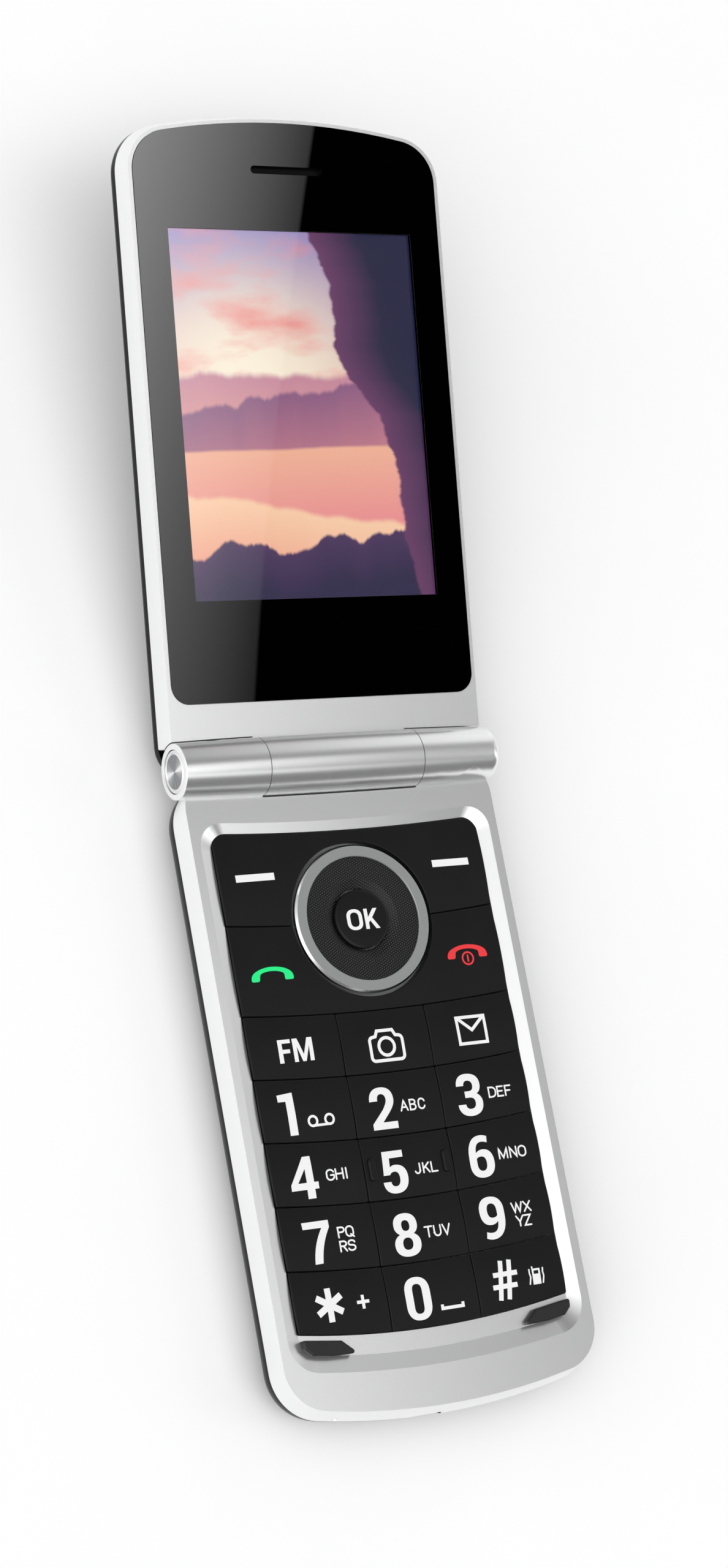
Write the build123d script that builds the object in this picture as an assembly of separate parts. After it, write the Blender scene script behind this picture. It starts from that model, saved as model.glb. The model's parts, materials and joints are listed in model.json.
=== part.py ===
from build123d import *
import os

# ------------------------------------------------------------------ driving dimensions (mm, degrees)
# Base and lid are each built about the hinge axis (X). In the base, -Y runs away from the hinge and
# Z = 0 is the face; in the lid, +Y runs away from the hinge. "near" is by the hinge, "far" the free end.
HINGE_Y = 50.0          # hinge axis, from the middle of the base's flat back
BASE_THICK = 9.8        # base face to flat back; also the height of the hinge axis
LID_RAISE = 12.2        # lid above flat at the open stop

# base shell: (half width, near edge, far edge, far bow radius, near corner, far corner) and height
FACE = (27.20, -0.5, 99.50, 117.0, 7.0, 7.0)
CHAMFER = (27.65, 0.2, 99.95, 117.5, 7.2, 7.4)
WAIST = (28.05, 1.0, 100.60, 118.0, 7.5, 7.8)
CHAMFER_H = -1.63
WAIST_H = -3.36
BACK_ROUND = 6.30       # rounding of the back's edges
WALL = 1.25

# recess and keypad opening: (half width, near edge, near bow, far edge, far bow, near and far corner)
RIDGE = (25.75, 9.10, 345.0, 93.46, 155.0, 3.7, 5.0)
FLOOR = (23.58, 10.72, 350.0, 90.90, 150.0, 2.4, 3.4)
OPENING = (23.72, 10.60, 350.0, 87.98, 149.0, 2.5, 0.4)
KEY_FIELD = (23.62, 10.72, 350.0, 87.86, 149.0, 2.4, 0.3)
RECESS_H = -0.75
ROOF_H = -1.90          # underside of the front plate

# barrel
BARREL_END_X = 28.07
BARREL_R_MID = 4.68
BARREL_R_END = 4.35
SEAM_X = 13.63
SEAM_GAP = 0.12
BARREL_ROUND = 1.5      # rounded right end
LID_CLEAR = (0.35, 0.45)           # lid front and lid back to outer knuckles
BASE_CLEAR = 0.20       # base to centre knuckle

# keypad: lower seams of the seven rows at x = 0, and the radii of their bows
SEAMS = (25.37, 39.30, 49.00, 58.70, 68.35, 78.10)
SEAM_BOWS = (257.0, 270.0, 262.0, 232.0, 225.0, 205.0)
KEY_GAP = 0.12
COLUMN_X = 7.83
KEY_BOTTOM = -1.75
CROWN_TOP = -0.20
CROWN_R = 44.0
PLATE_CROWN_R = 88.0
SIDE_BULGE = 0.12
PLUNGER_R = 1.20
PLUNGER_END = -2.50
KEY_X = 15.70           # middle of the outer columns
SOFT_POS = (17.4, 17.2)
CALL_POS = (17.4, 32.0)

# navigation key
NAV_S = 24.86
NAV_OPEN_R = 12.25
RING_R = 11.74
RING_BEVEL = (0.30, 0.40)          # width and depth of the ring's outer bevel
RING_IN_R = 9.80
DISC_R = 9.77
DISC_HOLE_R = 4.88
OK_R = 4.65
NAV_PAD_R = 8.9

# lid shell, as for the base
LID_FACE = (27.53, 3.5, 101.00, 120.6, 0.4, 7.1)
LID_CHAMFER = (27.86, 3.5, 101.60, 121.0, 0.4, 7.5)
LID_WAIST = (28.05, 3.5, 101.75, 121.0, 0.4, 7.8)
LID_BACK = (28.05, -0.9, 101.75, 121.0, 5.0, 7.8)
LID_FACE_H = -1.08
LID_CHAMFER_H = -2.84
LID_WAIST_H = -4.66
LID_BACK_H = -7.50
LID_BACK_ROUND = 1.8

# window and display
LENS = (26.85, 10.15, 100.40, 120.0, 3.0, 6.6)
LENS_FIT = (26.91, 10.09, 100.46, 120.06, 3.06, 6.66)
LENS_TOP = -0.94
LENS_BOTTOM = -1.94
EAR_T = 92.93
EAR_LENGTH = 12.8
EAR_WIDTH = 1.26
TRAY_SIZE = (50.0, 69.2)
TRAY_T = 52.8
PANEL_SIZE = (48.4, 65.8)
PANEL_T = 53.1
CAMERA_POS = (16.5, 92.6)

# circuit board and what is on it
BOARD_TOP = -3.20
BOARD_BOTTOM = -4.00
COVER_TOP = -5.20
COVER_NEAR = 5.5
COVER_FAR = 96.2
BATTERY = (34.0, 54.0, 4.2, 57.0)        # width, length, thickness, middle from the hinge
SPEAKER = (-11.5, 17.0, 15.0, 11.0)
SIM = (9.0, 17.5, 15.0, 16.0)
USB_X = -4.5
JACK_X = 14.0
JACK_H = -5.75
JACK_R = 1.78
JACK_NOSE_R = 2.10
JACK_MOUTH = -98.0
MIC_X = -18.9
MOTOR = (21.2, 40.0, -5.95)
BASE_SCREWS = ((-19.0, 7.6), (19.0, 7.6), (-23.0, 93.5), (23.0, 93.5))
LID_SCREWS = ((-23.2, 13.4), (23.2, 13.4), (-23.0, 91.4), (23.0, 91.4))
SCREW_R = 0.78

os.makedirs("parts", exist_ok=True)
parts = {}


# ------------------------------------------------------------------ helpers
def slab(plan, low, high):
    """A plan in XY made solid between two heights."""
    return Pos(0, 0, low) * extrude(plan, high - low)


def block(x0, x1, y0, y1, z0, z1):
    """A box by its limits."""
    return Pos((x0 + x1) / 2, (y0 + y1) / 2, (z0 + z1) / 2) * Box(x1 - x0, y1 - y0, z1 - z0)


def upright(x, y, radius, low, high):
    """A vertical cylinder."""
    return Pos(x, y, (low + high) / 2) * Cylinder(radius, high - low)


def along_x(x0, x1, radius, y=0.0, z=0.0):
    """A cylinder along X."""
    return Pos((x0 + x1) / 2, y, z) * Rot(0, 90, 0) * Cylinder(radius, abs(x1 - x0))


def along_y(y0, y1, radius, x=0.0, z=0.0):
    """A cylinder along Y."""
    return Pos(x, (y0 + y1) / 2, z) * Rot(90, 0, 0) * Cylinder(radius, abs(y1 - y0))


def shell_plan(side, dims, grow=0.0):
    """Plan of a half: straight sides, bowed far end. side is -1 for the base, 1 for the lid."""
    half, near, far, bow, r_near, r_far = dims
    half += grow
    near -= grow
    far += grow
    plan = Pos(0, side * (near + far + 1) / 2) * Rectangle(2 * half, far + 1 - near)
    plan &= Pos(0, side * (far - bow - grow)) * Circle(bow + grow)
    ends = plan.vertices().sort_by(Axis.Y)
    far_pair = ends[:2] if side < 0 else ends[-2:]
    plan = fillet(far_pair, r_far + grow)
    ends = plan.vertices().sort_by(Axis.Y)
    near_pair = ends[-2:] if side < 0 else ends[:2]
    return fillet(near_pair, r_near + grow)


def field_plan(dims):
    """Plan of the recess or keypad: both ends bow towards the free end of the base."""
    half, near, near_bow, far, far_bow, r_near, r_far = dims
    plan = Pos(0, -(near + far) / 2) * Rectangle(2 * half, far - near + 4)
    plan -= Pos(0, near_bow - near) * Circle(near_bow)
    plan &= Pos(0, far_bow - far) * Circle(far_bow)
    ends = plan.vertices().sort_by(Axis.Y)
    plan = fillet(ends[:2], r_far)
    return fillet(plan.vertices().sort_by(Axis.Y)[-2:], r_near)


def barrel_solid(grow=0.0):
    """The whole crowned barrel about X, sharp ended."""
    end = BARREL_END_X + grow
    r_end = BARREL_R_END + grow
    rim = ThreePointArc((-end, r_end), (0, BARREL_R_MID + grow), (end, r_end))
    sides = Polyline((end, r_end), (end, 0), (-end, 0), (-end, r_end))
    return revolve(make_face(rim + sides), Axis.X)


def keep_x(solid, x0, x1):
    return solid & block(x0, x1, -12, 12, -12, 12)


def in_base(shape):
    return Pos(0, HINGE_Y, BASE_THICK) * shape


def in_lid(shape):
    return Pos(0, HINGE_Y, BASE_THICK) * Rot(LID_RAISE, 0, 0) * shape


# ------------------------------------------------------------------ barrel segments
barrel = barrel_solid()
right_rim = barrel.edges().filter_by(GeomType.CIRCLE).sort_by(Axis.X)[-1]
barrel = fillet(right_rim, BARREL_ROUND)
left_rim = barrel.edges().filter_by(GeomType.CIRCLE).sort_by(Axis.X)[0]
barrel = fillet(left_rim, 0.25)
inner_x = SEAM_X - SEAM_GAP / 2
outer_x = SEAM_X + SEAM_GAP / 2
left_knuckle = keep_x(barrel, -30, -outer_x)
right_knuckle = keep_x(barrel, outer_x, 30)
centre_knuckle = keep_x(barrel, -inner_x, inner_x)

# ------------------------------------------------------------------ base: front housing
face_plan = shell_plan(-1, FACE)
chamfer_plan = shell_plan(-1, CHAMFER)
waist_plan = shell_plan(-1, WAIST)
front = loft([face_plan, Pos(0, 0, CHAMFER_H) * chamfer_plan, Pos(0, 0, WAIST_H) * waist_plan], ruled=True)
front -= keep_x(barrel_solid(BASE_CLEAR), -outer_x, outer_x)
front += left_knuckle
front += right_knuckle
ridge = field_plan(RIDGE)
front -= loft([ridge, Pos(0, 0, RECESS_H) * field_plan(FLOOR)], ruled=True)
front -= slab(field_plan(OPENING), ROOF_H - 1, RECESS_H + 0.2)
front -= slab(shell_plan(-1, (26.2, 5.7, 98.4, 117.0, 4.0, 6.0)), WAIST_H - 1, ROOF_H)
for x, s in BASE_SCREWS:
    front += upright(x, -s, 1.7, BOARD_BOTTOM - 0.15, ROOF_H + 0.1)
    front -= upright(x, -s, SCREW_R + 0.02, BOARD_BOTTOM - 0.5, -2.15)
# bores of the outer knuckles: hinge unit on the left, hollow pivot and flex on the right
front -= along_x(-27.0, -outer_x + 1, 2.80)
front -= along_x(-29.0, -26.75, 3.42)
front -= along_x(outer_x - 1, 26.3, 2.75)
front -= block(22.5, 25.7, -8.0, 0.0, -2.8, -2.3)
# sound hole of the microphone, and the shallow hollow that clears a charging plug
front -= along_y(-102, -97, 0.45, MIC_X, -2.8)
plug_hollow = block(-8.4, -0.6, -103, -100.42, -7.4, CHAMFER_H)
front -= plug_hollow
parts["base_front_housing"] = in_base(front)

# ------------------------------------------------------------------ base: rear housing and battery cover
hull = slab(waist_plan, -BASE_THICK, WAIST_H - 0.02)
hull = fillet(hull.faces().sort_by(Axis.Z)[0].edges(), BACK_ROUND)
core_dims = (WAIST[0] - WALL, WAIST[1] + WALL, WAIST[2] - WALL, 116.8, 6.2, 6.5)
core = slab(shell_plan(-1, core_dims), -BASE_THICK + 1.15, WAIST_H + 1)
core = fillet(core.faces().sort_by(Axis.Z)[0].edges(), 5.15)
hull -= barrel_solid(BASE_CLEAR)
skin = hull - core
cover_zone = block(-40, 40, -COVER_FAR, -COVER_NEAR, -20, COVER_TOP)
gap = 0.06
cover_inner_zone = block(-40, 40, -COVER_FAR + gap, -COVER_NEAR - gap, -20, COVER_TOP - gap)
cover = skin & cover_inner_zone
for i in range(5):
    slot = Rot(0, 0, 90) * SlotOverall(8.0, 1.0)
    cover -= slab(Pos(SPEAKER[0] - 4.4 + 2.2 * i, -SPEAKER[1]) * slot, -12, -8)
parts["battery_cover"] = in_base(cover)

rear = skin - cover_zone
rear += hull & slab(waist_plan, COVER_TOP, -4.2)
end_walls = block(-40, 40, -COVER_NEAR + 0.0, -COVER_NEAR + 1.1, -20, -5)
end_walls += block(-40, 40, -COVER_FAR - 1.1, -COVER_FAR, -20, -5)
rear += hull & end_walls
battery_w, battery_l, battery_t, battery_s = BATTERY
rear -= block(-battery_w / 2 - 0.2, battery_w / 2 + 0.2, -battery_s - battery_l / 2 - 0.2,
              -battery_s + battery_l / 2 + 0.2, -6, -4)
rear -= block(-5.4, 5.4, -battery_s + battery_l / 2, -battery_s + battery_l / 2 + 3.8, -6, -4)
for x, s, w, d in (SPEAKER, SIM):
    rear -= block(x - w / 2 - 0.3, x + w / 2 + 0.3, -s - d / 2 - 0.3, -s + d / 2 + 0.3, -6, -4)
for x in (-21.6, 21.6):
    rear -= block(x - 3.2, x + 3.2, -81, -55, -6, -4)
rear -= block(MOTOR[0] - 2.1, MOTOR[0] + 2.1, -46.4, -34.6, -6, -4)
rear -= upright(MIC_X, -95.9, 2.3, -6, -4)
for x, s in BASE_SCREWS:
    rear += upright(x, -s, 2.3, -6.6, -4.2) & core
    rear -= upright(x, -s, 1.5, -6.7, -5.6)
    rear -= upright(x, -s, 0.85, -6.7, -4.0)
# charging socket and headset socket
rear -= block(USB_X - 4.1, USB_X + 4.1, -103, -93.0, -6.85, -3.75)
rear -= plug_hollow
rear -= along_y(-103, -95, JACK_NOSE_R + 0.07, JACK_X, JACK_H)
rear -= block(JACK_X - 3.1, JACK_X + 3.1, -95.5, -84.3, -6.0, -4.0)
parts["base_rear_housing"] = in_base(rear)

# ------------------------------------------------------------------ base: board and electronics
board_dims = (25.5, 6.3, 97.3, 116.0, 4.5, 5.5)
board = slab(shell_plan(-1, board_dims), BOARD_BOTTOM, BOARD_TOP)
for x, s in BASE_SCREWS:
    board -= upright(x, -s, 1.9, -5, -3)
board -= block(JACK_X - 3.2, JACK_X + 3.2, -99, -84.2, -5, -3)
parts["main_board"] = in_base(board)

cans = block(-24.6, -18.6, -80.6, -55.4, -5.6, BOARD_BOTTOM - 0.03)
cans -= block(-24.4, -18.8, -80.4, -55.6, -5.4, BOARD_BOTTOM)
cans += block(18.6, 24.6, -80.6, -55.4, -5.6, BOARD_BOTTOM - 0.03)
cans -= block(18.8, 24.4, -80.4, -55.6, -5.4, BOARD_BOTTOM)
parts["board_shields"] = in_base(cans)

battery = slab(Pos(0, -battery_s) * RectangleRounded(battery_w, battery_l, 1.5), -8.56, -8.56 + battery_t)
parts["battery"] = in_base(fillet(battery.faces().sort_by(Axis.Z)[0].edges(), 0.5))

contact_s = battery_s - battery_l / 2
contacts = block(-5.0, 5.0, -contact_s + 0.6, -contact_s + 3.4, -7.4, BOARD_BOTTOM - 0.03)
for i in range(3):
    x = -3.0 + 3.0 * i
    contacts += block(x - 0.5, x + 0.5, -contact_s + 0.06, -contact_s + 0.8, -6.6, -5.6)
parts["battery_contacts"] = in_base(contacts)

x, s, w, d = SIM
sim = block(x - w / 2, x + w / 2, -s - d / 2, -s + d / 2, -5.5, BOARD_BOTTOM - 0.03)
sim -= block(x - w / 2 + 0.5, x + w / 2 - 0.5, -s - d / 2 - 1, -s + d / 2 - 0.5, -5.2, -4.3)
sim -= block(x - 4, x + 4, -s - 3, -s + 3, -6, -5)
parts["sim_holder"] = in_base(sim)

x, s, w, d = SPEAKER
speaker = slab(Pos(x, -s) * RectangleRounded(w, d, 3.0), -7.6, BOARD_BOTTOM - 0.05)
speaker -= slab(Pos(x, -s) * RectangleRounded(w - 2.4, d - 2.4, 2.0), -8, -7.3)
speaker += slab(Pos(x, -s) * RectangleRounded(w - 6.0, d - 5.0, 1.5), -7.55, -7.2)
parts["loudspeaker"] = in_base(speaker)

x, s, h = MOTOR
motor = along_y(-s - 0.5, -s + 5.0, 1.75, x, h)
motor -= along_y(-s - 1.0, -s + 3.0, 0.45, x, h)
motor += block(x - 1.2, x + 1.2, -s - 0.5, -s + 4.8, h + 1.2, BOARD_BOTTOM - 0.05)
motor -= along_y(-s - 1.0, -s + 3.0, 0.45, x, h)
parts["vibration_motor"] = in_base(motor)
weight = along_y(-s - 5.6, -s - 1.0, 1.60, x, h) & block(x - 3, x + 3, -s - 8, -s + 8, h - 3, h + 0.3)
weight += along_y(-s - 5.6, -s - 1.0, 0.70, x, h)
weight += along_y(-s - 1.2, -s + 2.8, 0.40, x, h)
parts["vibration_weight"] = in_base(weight)

mic = upright(MIC_X, -95.9, 2.0, -5.5, BOARD_BOTTOM - 0.05)
mic -= upright(MIC_X, -95.9, 0.6, -5.6, -5.2)
parts["microphone"] = in_base(mic)

antenna = block(-19.0, 8.0, -91.5, -87.6, -5.42, COVER_TOP - 0.04)
antenna -= block(-16.0, 5.0, -90.4, -88.8, -5.6, -5.1)
parts["antenna"] = in_base(antenna)

usb = block(USB_X - 3.75, USB_X + 3.75, -98.9, -93.4, -6.55, BOARD_BOTTOM - 0.05)
usb -= block(USB_X - 3.45, USB_X + 3.45, -99.5, -94.0, -6.25, -4.35)
usb += block(USB_X - 1.9, USB_X + 1.9, -98.4, -93.9, -5.15, -4.60)
parts["usb_socket"] = in_base(usb)

jack = block(JACK_X - 3.0, JACK_X + 3.0, -95.2, -84.6, JACK_H - 2.3, JACK_H + 2.3)
jack += along_y(JACK_MOUTH, -95.0, JACK_NOSE_R, JACK_X, JACK_H)
jack -= along_y(JACK_MOUTH - 1, -85.0, JACK_R, JACK_X, JACK_H)
parts["headphone_jack"] = in_base(jack)

screws = Part()
for x, s in BASE_SCREWS:
    head = upright(x, -s, 1.35, -6.42, -5.64) - block(x - 0.2, x + 0.2, -s - 1, -s + 1, -7, -6.1)
    screws += head + upright(x, -s, SCREW_R, -5.7, -2.3)
parts["base_screws"] = in_base(screws)

# ------------------------------------------------------------------ base: keypad underparts
row_mid = []
edges = (10.72,) + SEAMS + (87.86,)
for i in range(7):
    row_mid.append((edges[i] + edges[i + 1]) / 2)
key_points = []
for i in range(2, 7):
    key_points.append((-KEY_X, row_mid[i] - 0.5))
    key_points.append((0.0, row_mid[i]))
    key_points.append((KEY_X, row_mid[i] - 0.5))
plate_points = [(-SOFT_POS[0], SOFT_POS[1]), SOFT_POS, (-CALL_POS[0], CALL_POS[1]), CALL_POS]
nav_points = [(0, NAV_S - NAV_PAD_R), (0, NAV_S + NAV_PAD_R), (-NAV_PAD_R, NAV_S), (NAV_PAD_R, NAV_S)]
press_points = key_points + plate_points + nav_points + [(0.0, NAV_S)]

keymat = slab(field_plan((25.0, 9.95, 345.0, 89.3, 150.0, 3.2, 1.5)), BOARD_TOP + 0.05, ROOF_H - 0.05)
keymat -= slab(field_plan((24.1, 10.30, 350.0, 88.4, 149.0, 2.8, 1.0)), -2.15, 0)
keymat -= slab(field_plan((23.9, 10.50, 350.0, 88.2, 149.0, 2.6, 1.0)), -4, -2.45)
for x, s in press_points:
    keymat -= upright(x, -s, 1.75, -4, 0)
parts["keymat"] = in_base(keymat)

domes = slab(field_plan((22.8, 11.6, 350.0, 87.0, 149.0, 2.0, 1.0)), BOARD_TOP + 0.03, BOARD_TOP + 0.12)
for x, s in press_points:
    domes += upright(x, -s, 2.1, BOARD_TOP + 0.1, BOARD_TOP + 0.22)
    domes += upright(x, -s, 1.5, BOARD_TOP + 0.1, BOARD_TOP + 0.30)
    domes += upright(x, -s, 0.8, BOARD_TOP + 0.1, BOARD_TOP + 0.36)
parts["dome_sheet"] = in_base(domes)

# dark stop pads beside the far corners of the keypad
pad_line = Polyline((-23.45, -86.95), (-17.0, -87.80), (-14.55, -89.95), (-19.0, -89.85),
                    (-22.2, -89.35), (-23.35, -88.25), close=True)
pad_plan = make_face(pad_line)
pad_plan = fillet(pad_plan.vertices(), 0.35)
pad = slab(pad_plan, RECESS_H, 0.40)
pad_top = pad.faces().sort_by(Axis.Z)[-1].edges()
pad = fillet(pad_top, 0.30)
pads = pad + mirror(pad, Plane.YZ)
pads -= front
parts["lid_stop_bumpers"] = in_base(pads)


# ------------------------------------------------------------------ keys
def row_band(i):
    """Plan of one key row between its seams."""
    plan = field_plan(KEY_FIELD)
    if i < 6:
        bow = SEAM_BOWS[i]
        plan &= Pos(0, bow - SEAMS[i] + KEY_GAP / 2) * Circle(bow)
    if i > 0:
        bow = SEAM_BOWS[i - 1]
        plan -= Pos(0, bow - SEAMS[i - 1] - KEY_GAP / 2) * Circle(bow)
    return plan


def crown(solid, s, radius):
    """Cut a key's top to a shallow cylinder about X."""
    return solid & along_x(-40, 40, radius, -s, CROWN_TOP - radius)


def side_trim(plan, i, x_sign, half_length):
    """Give the outer side of a row its slight bulge."""
    r = half_length ** 2 / (2 * SIDE_BULGE)
    s = row_mid[i] - 1.1
    return plan & Pos(x_sign * (KEY_FIELD[0] - r), -s) * Circle(r)


def finish_key(solid, s, radius, soften):
    solid = fillet(solid.edges().filter_by(Axis.Z), soften)
    solid = crown(solid, s, radius)
    top = solid.faces().filter_by(GeomType.CYLINDER).sort_by(Axis.Z)[-1]
    return fillet(top.edges(), 0.14)


def make_key(i, column):
    """One key of rows 2 to 6; column is -1, 0 or 1."""
    plan = row_band(i)
    half_gap = KEY_GAP / 2
    s = row_mid[i] - 0.5 * abs(column)
    if column == 0:
        plan &= Pos(0, -50) * Rectangle(2 * (COLUMN_X - half_gap), 120)
    else:
        width = 30 - COLUMN_X - half_gap
        plan &= Pos(column * (COLUMN_X + half_gap + width / 2), -50) * Rectangle(width, 120)
        plan = side_trim(plan, i, column, 4.85)
    key = finish_key(slab(plan, KEY_BOTTOM, 0.3), s, CROWN_R, 0.25)
    return key + upright(KEY_X * column, -s, PLUNGER_R, PLUNGER_END, KEY_BOTTOM + 0.2)


key_names = [
    ["fm_key", "camera_key", "message_key"],
    ["key_1", "key_2", "key_3"],
    ["key_4", "key_5", "key_6"],
    ["key_7", "key_8", "key_9"],
    ["star_key", "key_0", "hash_key"],
]
for i in range(2, 7):
    for column in (-1, 0, 1):
        key = make_key(i, column)
        name = key_names[i - 2][column + 1]
        if name == "key_5":
            for x in (-6.5, 6.5):
                bar = Pos(x, -63.5) * Rot(0, 0, 90) * SlotOverall(3.5, 1.25)
                ridge_bar = slab(bar, -0.8, 0.26)
                key += fillet(ridge_bar.faces().sort_by(Axis.Z)[-1].edges(), 0.3)
        parts[name] = in_base(key)


def make_plate(i, points, radius):
    """A rocking plate that carries the left and right keys of one row around the navigation key."""
    plan = row_band(i)
    for sign in (-1, 1):
        plan = side_trim(plan, i, sign, 7.2)
    plan -= Pos(0, -NAV_S) * Circle(NAV_OPEN_R)
    plate = slab(plan, KEY_BOTTOM, 0.3)
    plate = crown(plate, row_mid[i], radius)
    top = plate.faces().filter_by(GeomType.CYLINDER).sort_by(Axis.Z)[-1]
    plate = fillet(top.edges(), 0.14)
    for x, s in points:
        plate += upright(x, -s, PLUNGER_R, PLUNGER_END, KEY_BOTTOM + 0.2)
    return plate


parts["softkey_plate"] = in_base(make_plate(0, plate_points[:2], PLATE_CROWN_R))
parts["call_end_plate"] = in_base(make_plate(1, plate_points[2:], PLATE_CROWN_R))

# ------------------------------------------------------------------ navigation key
bevel_w, bevel_h = RING_BEVEL
ring_profile = Polyline((RING_IN_R, -1.50), (RING_R, -1.50), (RING_R, -bevel_h), (RING_R - bevel_w, 0.0),
                        (RING_IN_R + 0.08, 0.0), (RING_IN_R, -0.08), close=True)
disc_profile = Polyline((DISC_HOLE_R, -1.50), (DISC_R, -1.50), (DISC_R, -0.28), (6.3, -0.42),
                        (DISC_HOLE_R, -1.05), close=True)
at_nav = Pos(0, -NAV_S, 0)
ring = revolve(Plane.XZ * make_face(ring_profile), Axis.Z)
disc = revolve(Plane.XZ * make_face(disc_profile), Axis.Z)
for x, s in nav_points:
    disc += upright(x, -(s - NAV_S), 1.0, -2.45, -1.4)
parts["nav_ring"] = in_base(at_nav * ring)
parts["nav_disc"] = in_base(at_nav * disc)

pivot = slab(Circle(6.0) - Circle(5.05), -1.92, -1.75)
pivot += block(-0.4, 0.4, 5.1, 5.9, -1.8, -1.525) + block(-0.4, 0.4, -5.9, -5.1, -1.8, -1.525)
pivot += block(5.1, 5.9, -0.2, 0.2, -2.135, -1.8) + block(-5.9, -5.1, -0.2, 0.2, -2.135, -1.8)
parts["nav_pivot_plate"] = in_base(at_nav * pivot)

ok_profile = Polyline((0, -1.70), (OK_R, -1.70), (OK_R, -0.62), (OK_R - 0.35, -0.50), (3.0, -0.42),
                      (0, -0.38), close=True)
ok_key = revolve(Plane.XZ * make_face(ok_profile), Axis.Z)
ok_key += upright(0, 0, PLUNGER_R, PLUNGER_END, -1.6)
parts["ok_key"] = in_base(at_nav * ok_key)

# ------------------------------------------------------------------ hinge
can = along_x(-26.6, -13.95, 2.75) - along_x(-26.0, -14.7, 2.20) - along_x(-15.0, -13.5, 1.06)
parts["hinge_can"] = in_base(can)

coil = Helix(pitch=0.95, height=8.4, radius=1.65)
coil_wire = sweep(Plane(origin=coil @ 0, z_dir=coil % 0) * Circle(0.24), path=coil)
parts["hinge_spring"] = in_base(Pos(-25.3, 0, 0) * Rot(0, 90, 0) * coil_wire)

cap_profile = Polyline((-26.85, 0), (-26.85, 3.33), (-27.84, 3.33), (-27.92, 3.25), (-27.90, 3.00),
                       (-28.04, 2.80), (-28.04, 2.72), (-27.93, 2.64), (-27.93, 0), close=True)
end_cap = revolve(make_face(cap_profile), Axis.X)
parts["hinge_end_cap"] = in_base(end_cap)

shaft = along_x(-25.2, -9.2, 1.0) + along_x(-15.9, -14.95, 2.05)
shaft += block(-13.5, -9.2, -2.1, 2.1, -1.6, 1.6)
parts["hinge_shaft"] = in_lid(shaft)

bush = along_x(9.2, 22.0, 2.68) - along_x(9.0, 22.5, 2.05)
parts["pivot_bush"] = in_lid(bush)

# display flex: rolled about the axis inside the bush; its tail stays with the base
flex = along_x(1.0, 22.3, 1.70) - along_x(0.5, 23, 1.55)
flex += block(1.0, 6.0, -0.08, 0.08, -3.42, -1.6)
flex += block(1.0, 6.0, -0.08, 12.0, -3.42, -3.32)
flex += block(1.0, 6.0, 11.8, 12.0, -4.40, -3.32)
parts["display_flex"] = in_lid(flex)
tail = along_x(22.6, 25.6, 1.70) - along_x(22.5, 26, 1.55)
tail += block(22.7, 25.5, -0.08, 0.08, -2.60, -1.6)
tail += block(22.7, 25.5, -9.2, 0.08, -2.60, -2.50)
tail += block(22.7, 25.5, -9.2, -8.4, -3.16, -2.50)
parts["flex_tail"] = in_base(tail)

# ------------------------------------------------------------------ lid: front frame
lid_face = Pos(0, 0, LID_FACE_H) * shell_plan(1, LID_FACE)
lid_mid = Pos(0, 0, LID_CHAMFER_H) * shell_plan(1, LID_CHAMFER)
lid_low = Pos(0, 0, LID_WAIST_H) * shell_plan(1, LID_WAIST)
frame = loft([lid_face, lid_mid, lid_low], ruled=True)
clear_left = keep_x(barrel_solid(LID_CLEAR[0]), -40, -inner_x)
clear_right = keep_x(barrel_solid(LID_CLEAR[0]), inner_x, 40)
frame -= clear_left
frame -= clear_right
frame += centre_knuckle
frame -= slab(shell_plan(1, LENS_FIT), LENS_BOTTOM - 0.02, 0)
frame -= slab(Pos(0, TRAY_T) * Rectangle(TRAY_SIZE[0] + 0.3, TRAY_SIZE[1] + 0.3), -6, -1)
frame -= slab(Pos(0, EAR_T) * Rectangle(15.4, 7.0), -6, -1)
frame -= slab(shell_plan(1, (26.6, 8.2, 100.2, 120.0, 1.5, 6.0)), LID_WAIST_H - 1, -2.95)
for x, t in LID_SCREWS:
    frame += upright(x, t, 1.6, LID_WAIST_H - 0.3, -2.8)
    frame -= upright(x, t, SCREW_R + 0.02, LID_WAIST_H - 1, -2.6)
# inside of the centre knuckle: shaft socket, flex chamber, bush bore, and the way into the lid
frame -= block(-14.0, -9.0, -2.13, 2.13, -1.63, 1.63)
frame -= along_x(-7.4, 8.9, 3.55)
frame -= along_x(8.7, 14.5, 2.70)
frame -= block(0.8, 6.2, 0.5, 9.0, -3.55, -3.15)
parts["lid_front_frame"] = in_lid(frame)

# ------------------------------------------------------------------ lid: rear cover
back = slab(shell_plan(1, LID_BACK), LID_BACK_H, LID_WAIST_H - 0.02)
back = fillet(back.faces().sort_by(Axis.Z)[0].edges(), LID_BACK_ROUND)
back -= barrel_solid(LID_CLEAR[1]) - block(-inner_x, inner_x, -12, 12, -12, 12)
back -= barrel_solid(0.06)
back -= slab(shell_plan(1, (26.9, 8.0, 100.55, 120.0, 2.0, 6.4)), -6.5, -4)
for x, t in LID_SCREWS:
    back += upright(x, t, 2.2, -6.6, LID_WAIST_H - 0.35)
    back -= upright(x, t, 1.5, -8, -6.25)
    back -= upright(x, t, 0.85, -8, -4)
back -= upright(CAMERA_POS[0], CAMERA_POS[1], 3.72, -8, -6.95)
back -= upright(CAMERA_POS[0], CAMERA_POS[1], 2.9, -8, -6)
parts["lid_rear_cover"] = in_lid(back)

# ------------------------------------------------------------------ lid: window, display, electronics
ear_slot = Pos(0, EAR_T) * SlotOverall(EAR_LENGTH, EAR_WIDTH)
parts["lid_lens"] = in_lid(slab(shell_plan(1, LENS) - ear_slot, LENS_BOTTOM, LENS_TOP))

mesh_plan = Pos(0, EAR_T) * RectangleRounded(14.4, 3.0, 0.8)
parts["earpiece_mesh"] = in_lid(slab(mesh_plan, -2.04, -1.955))

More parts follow.
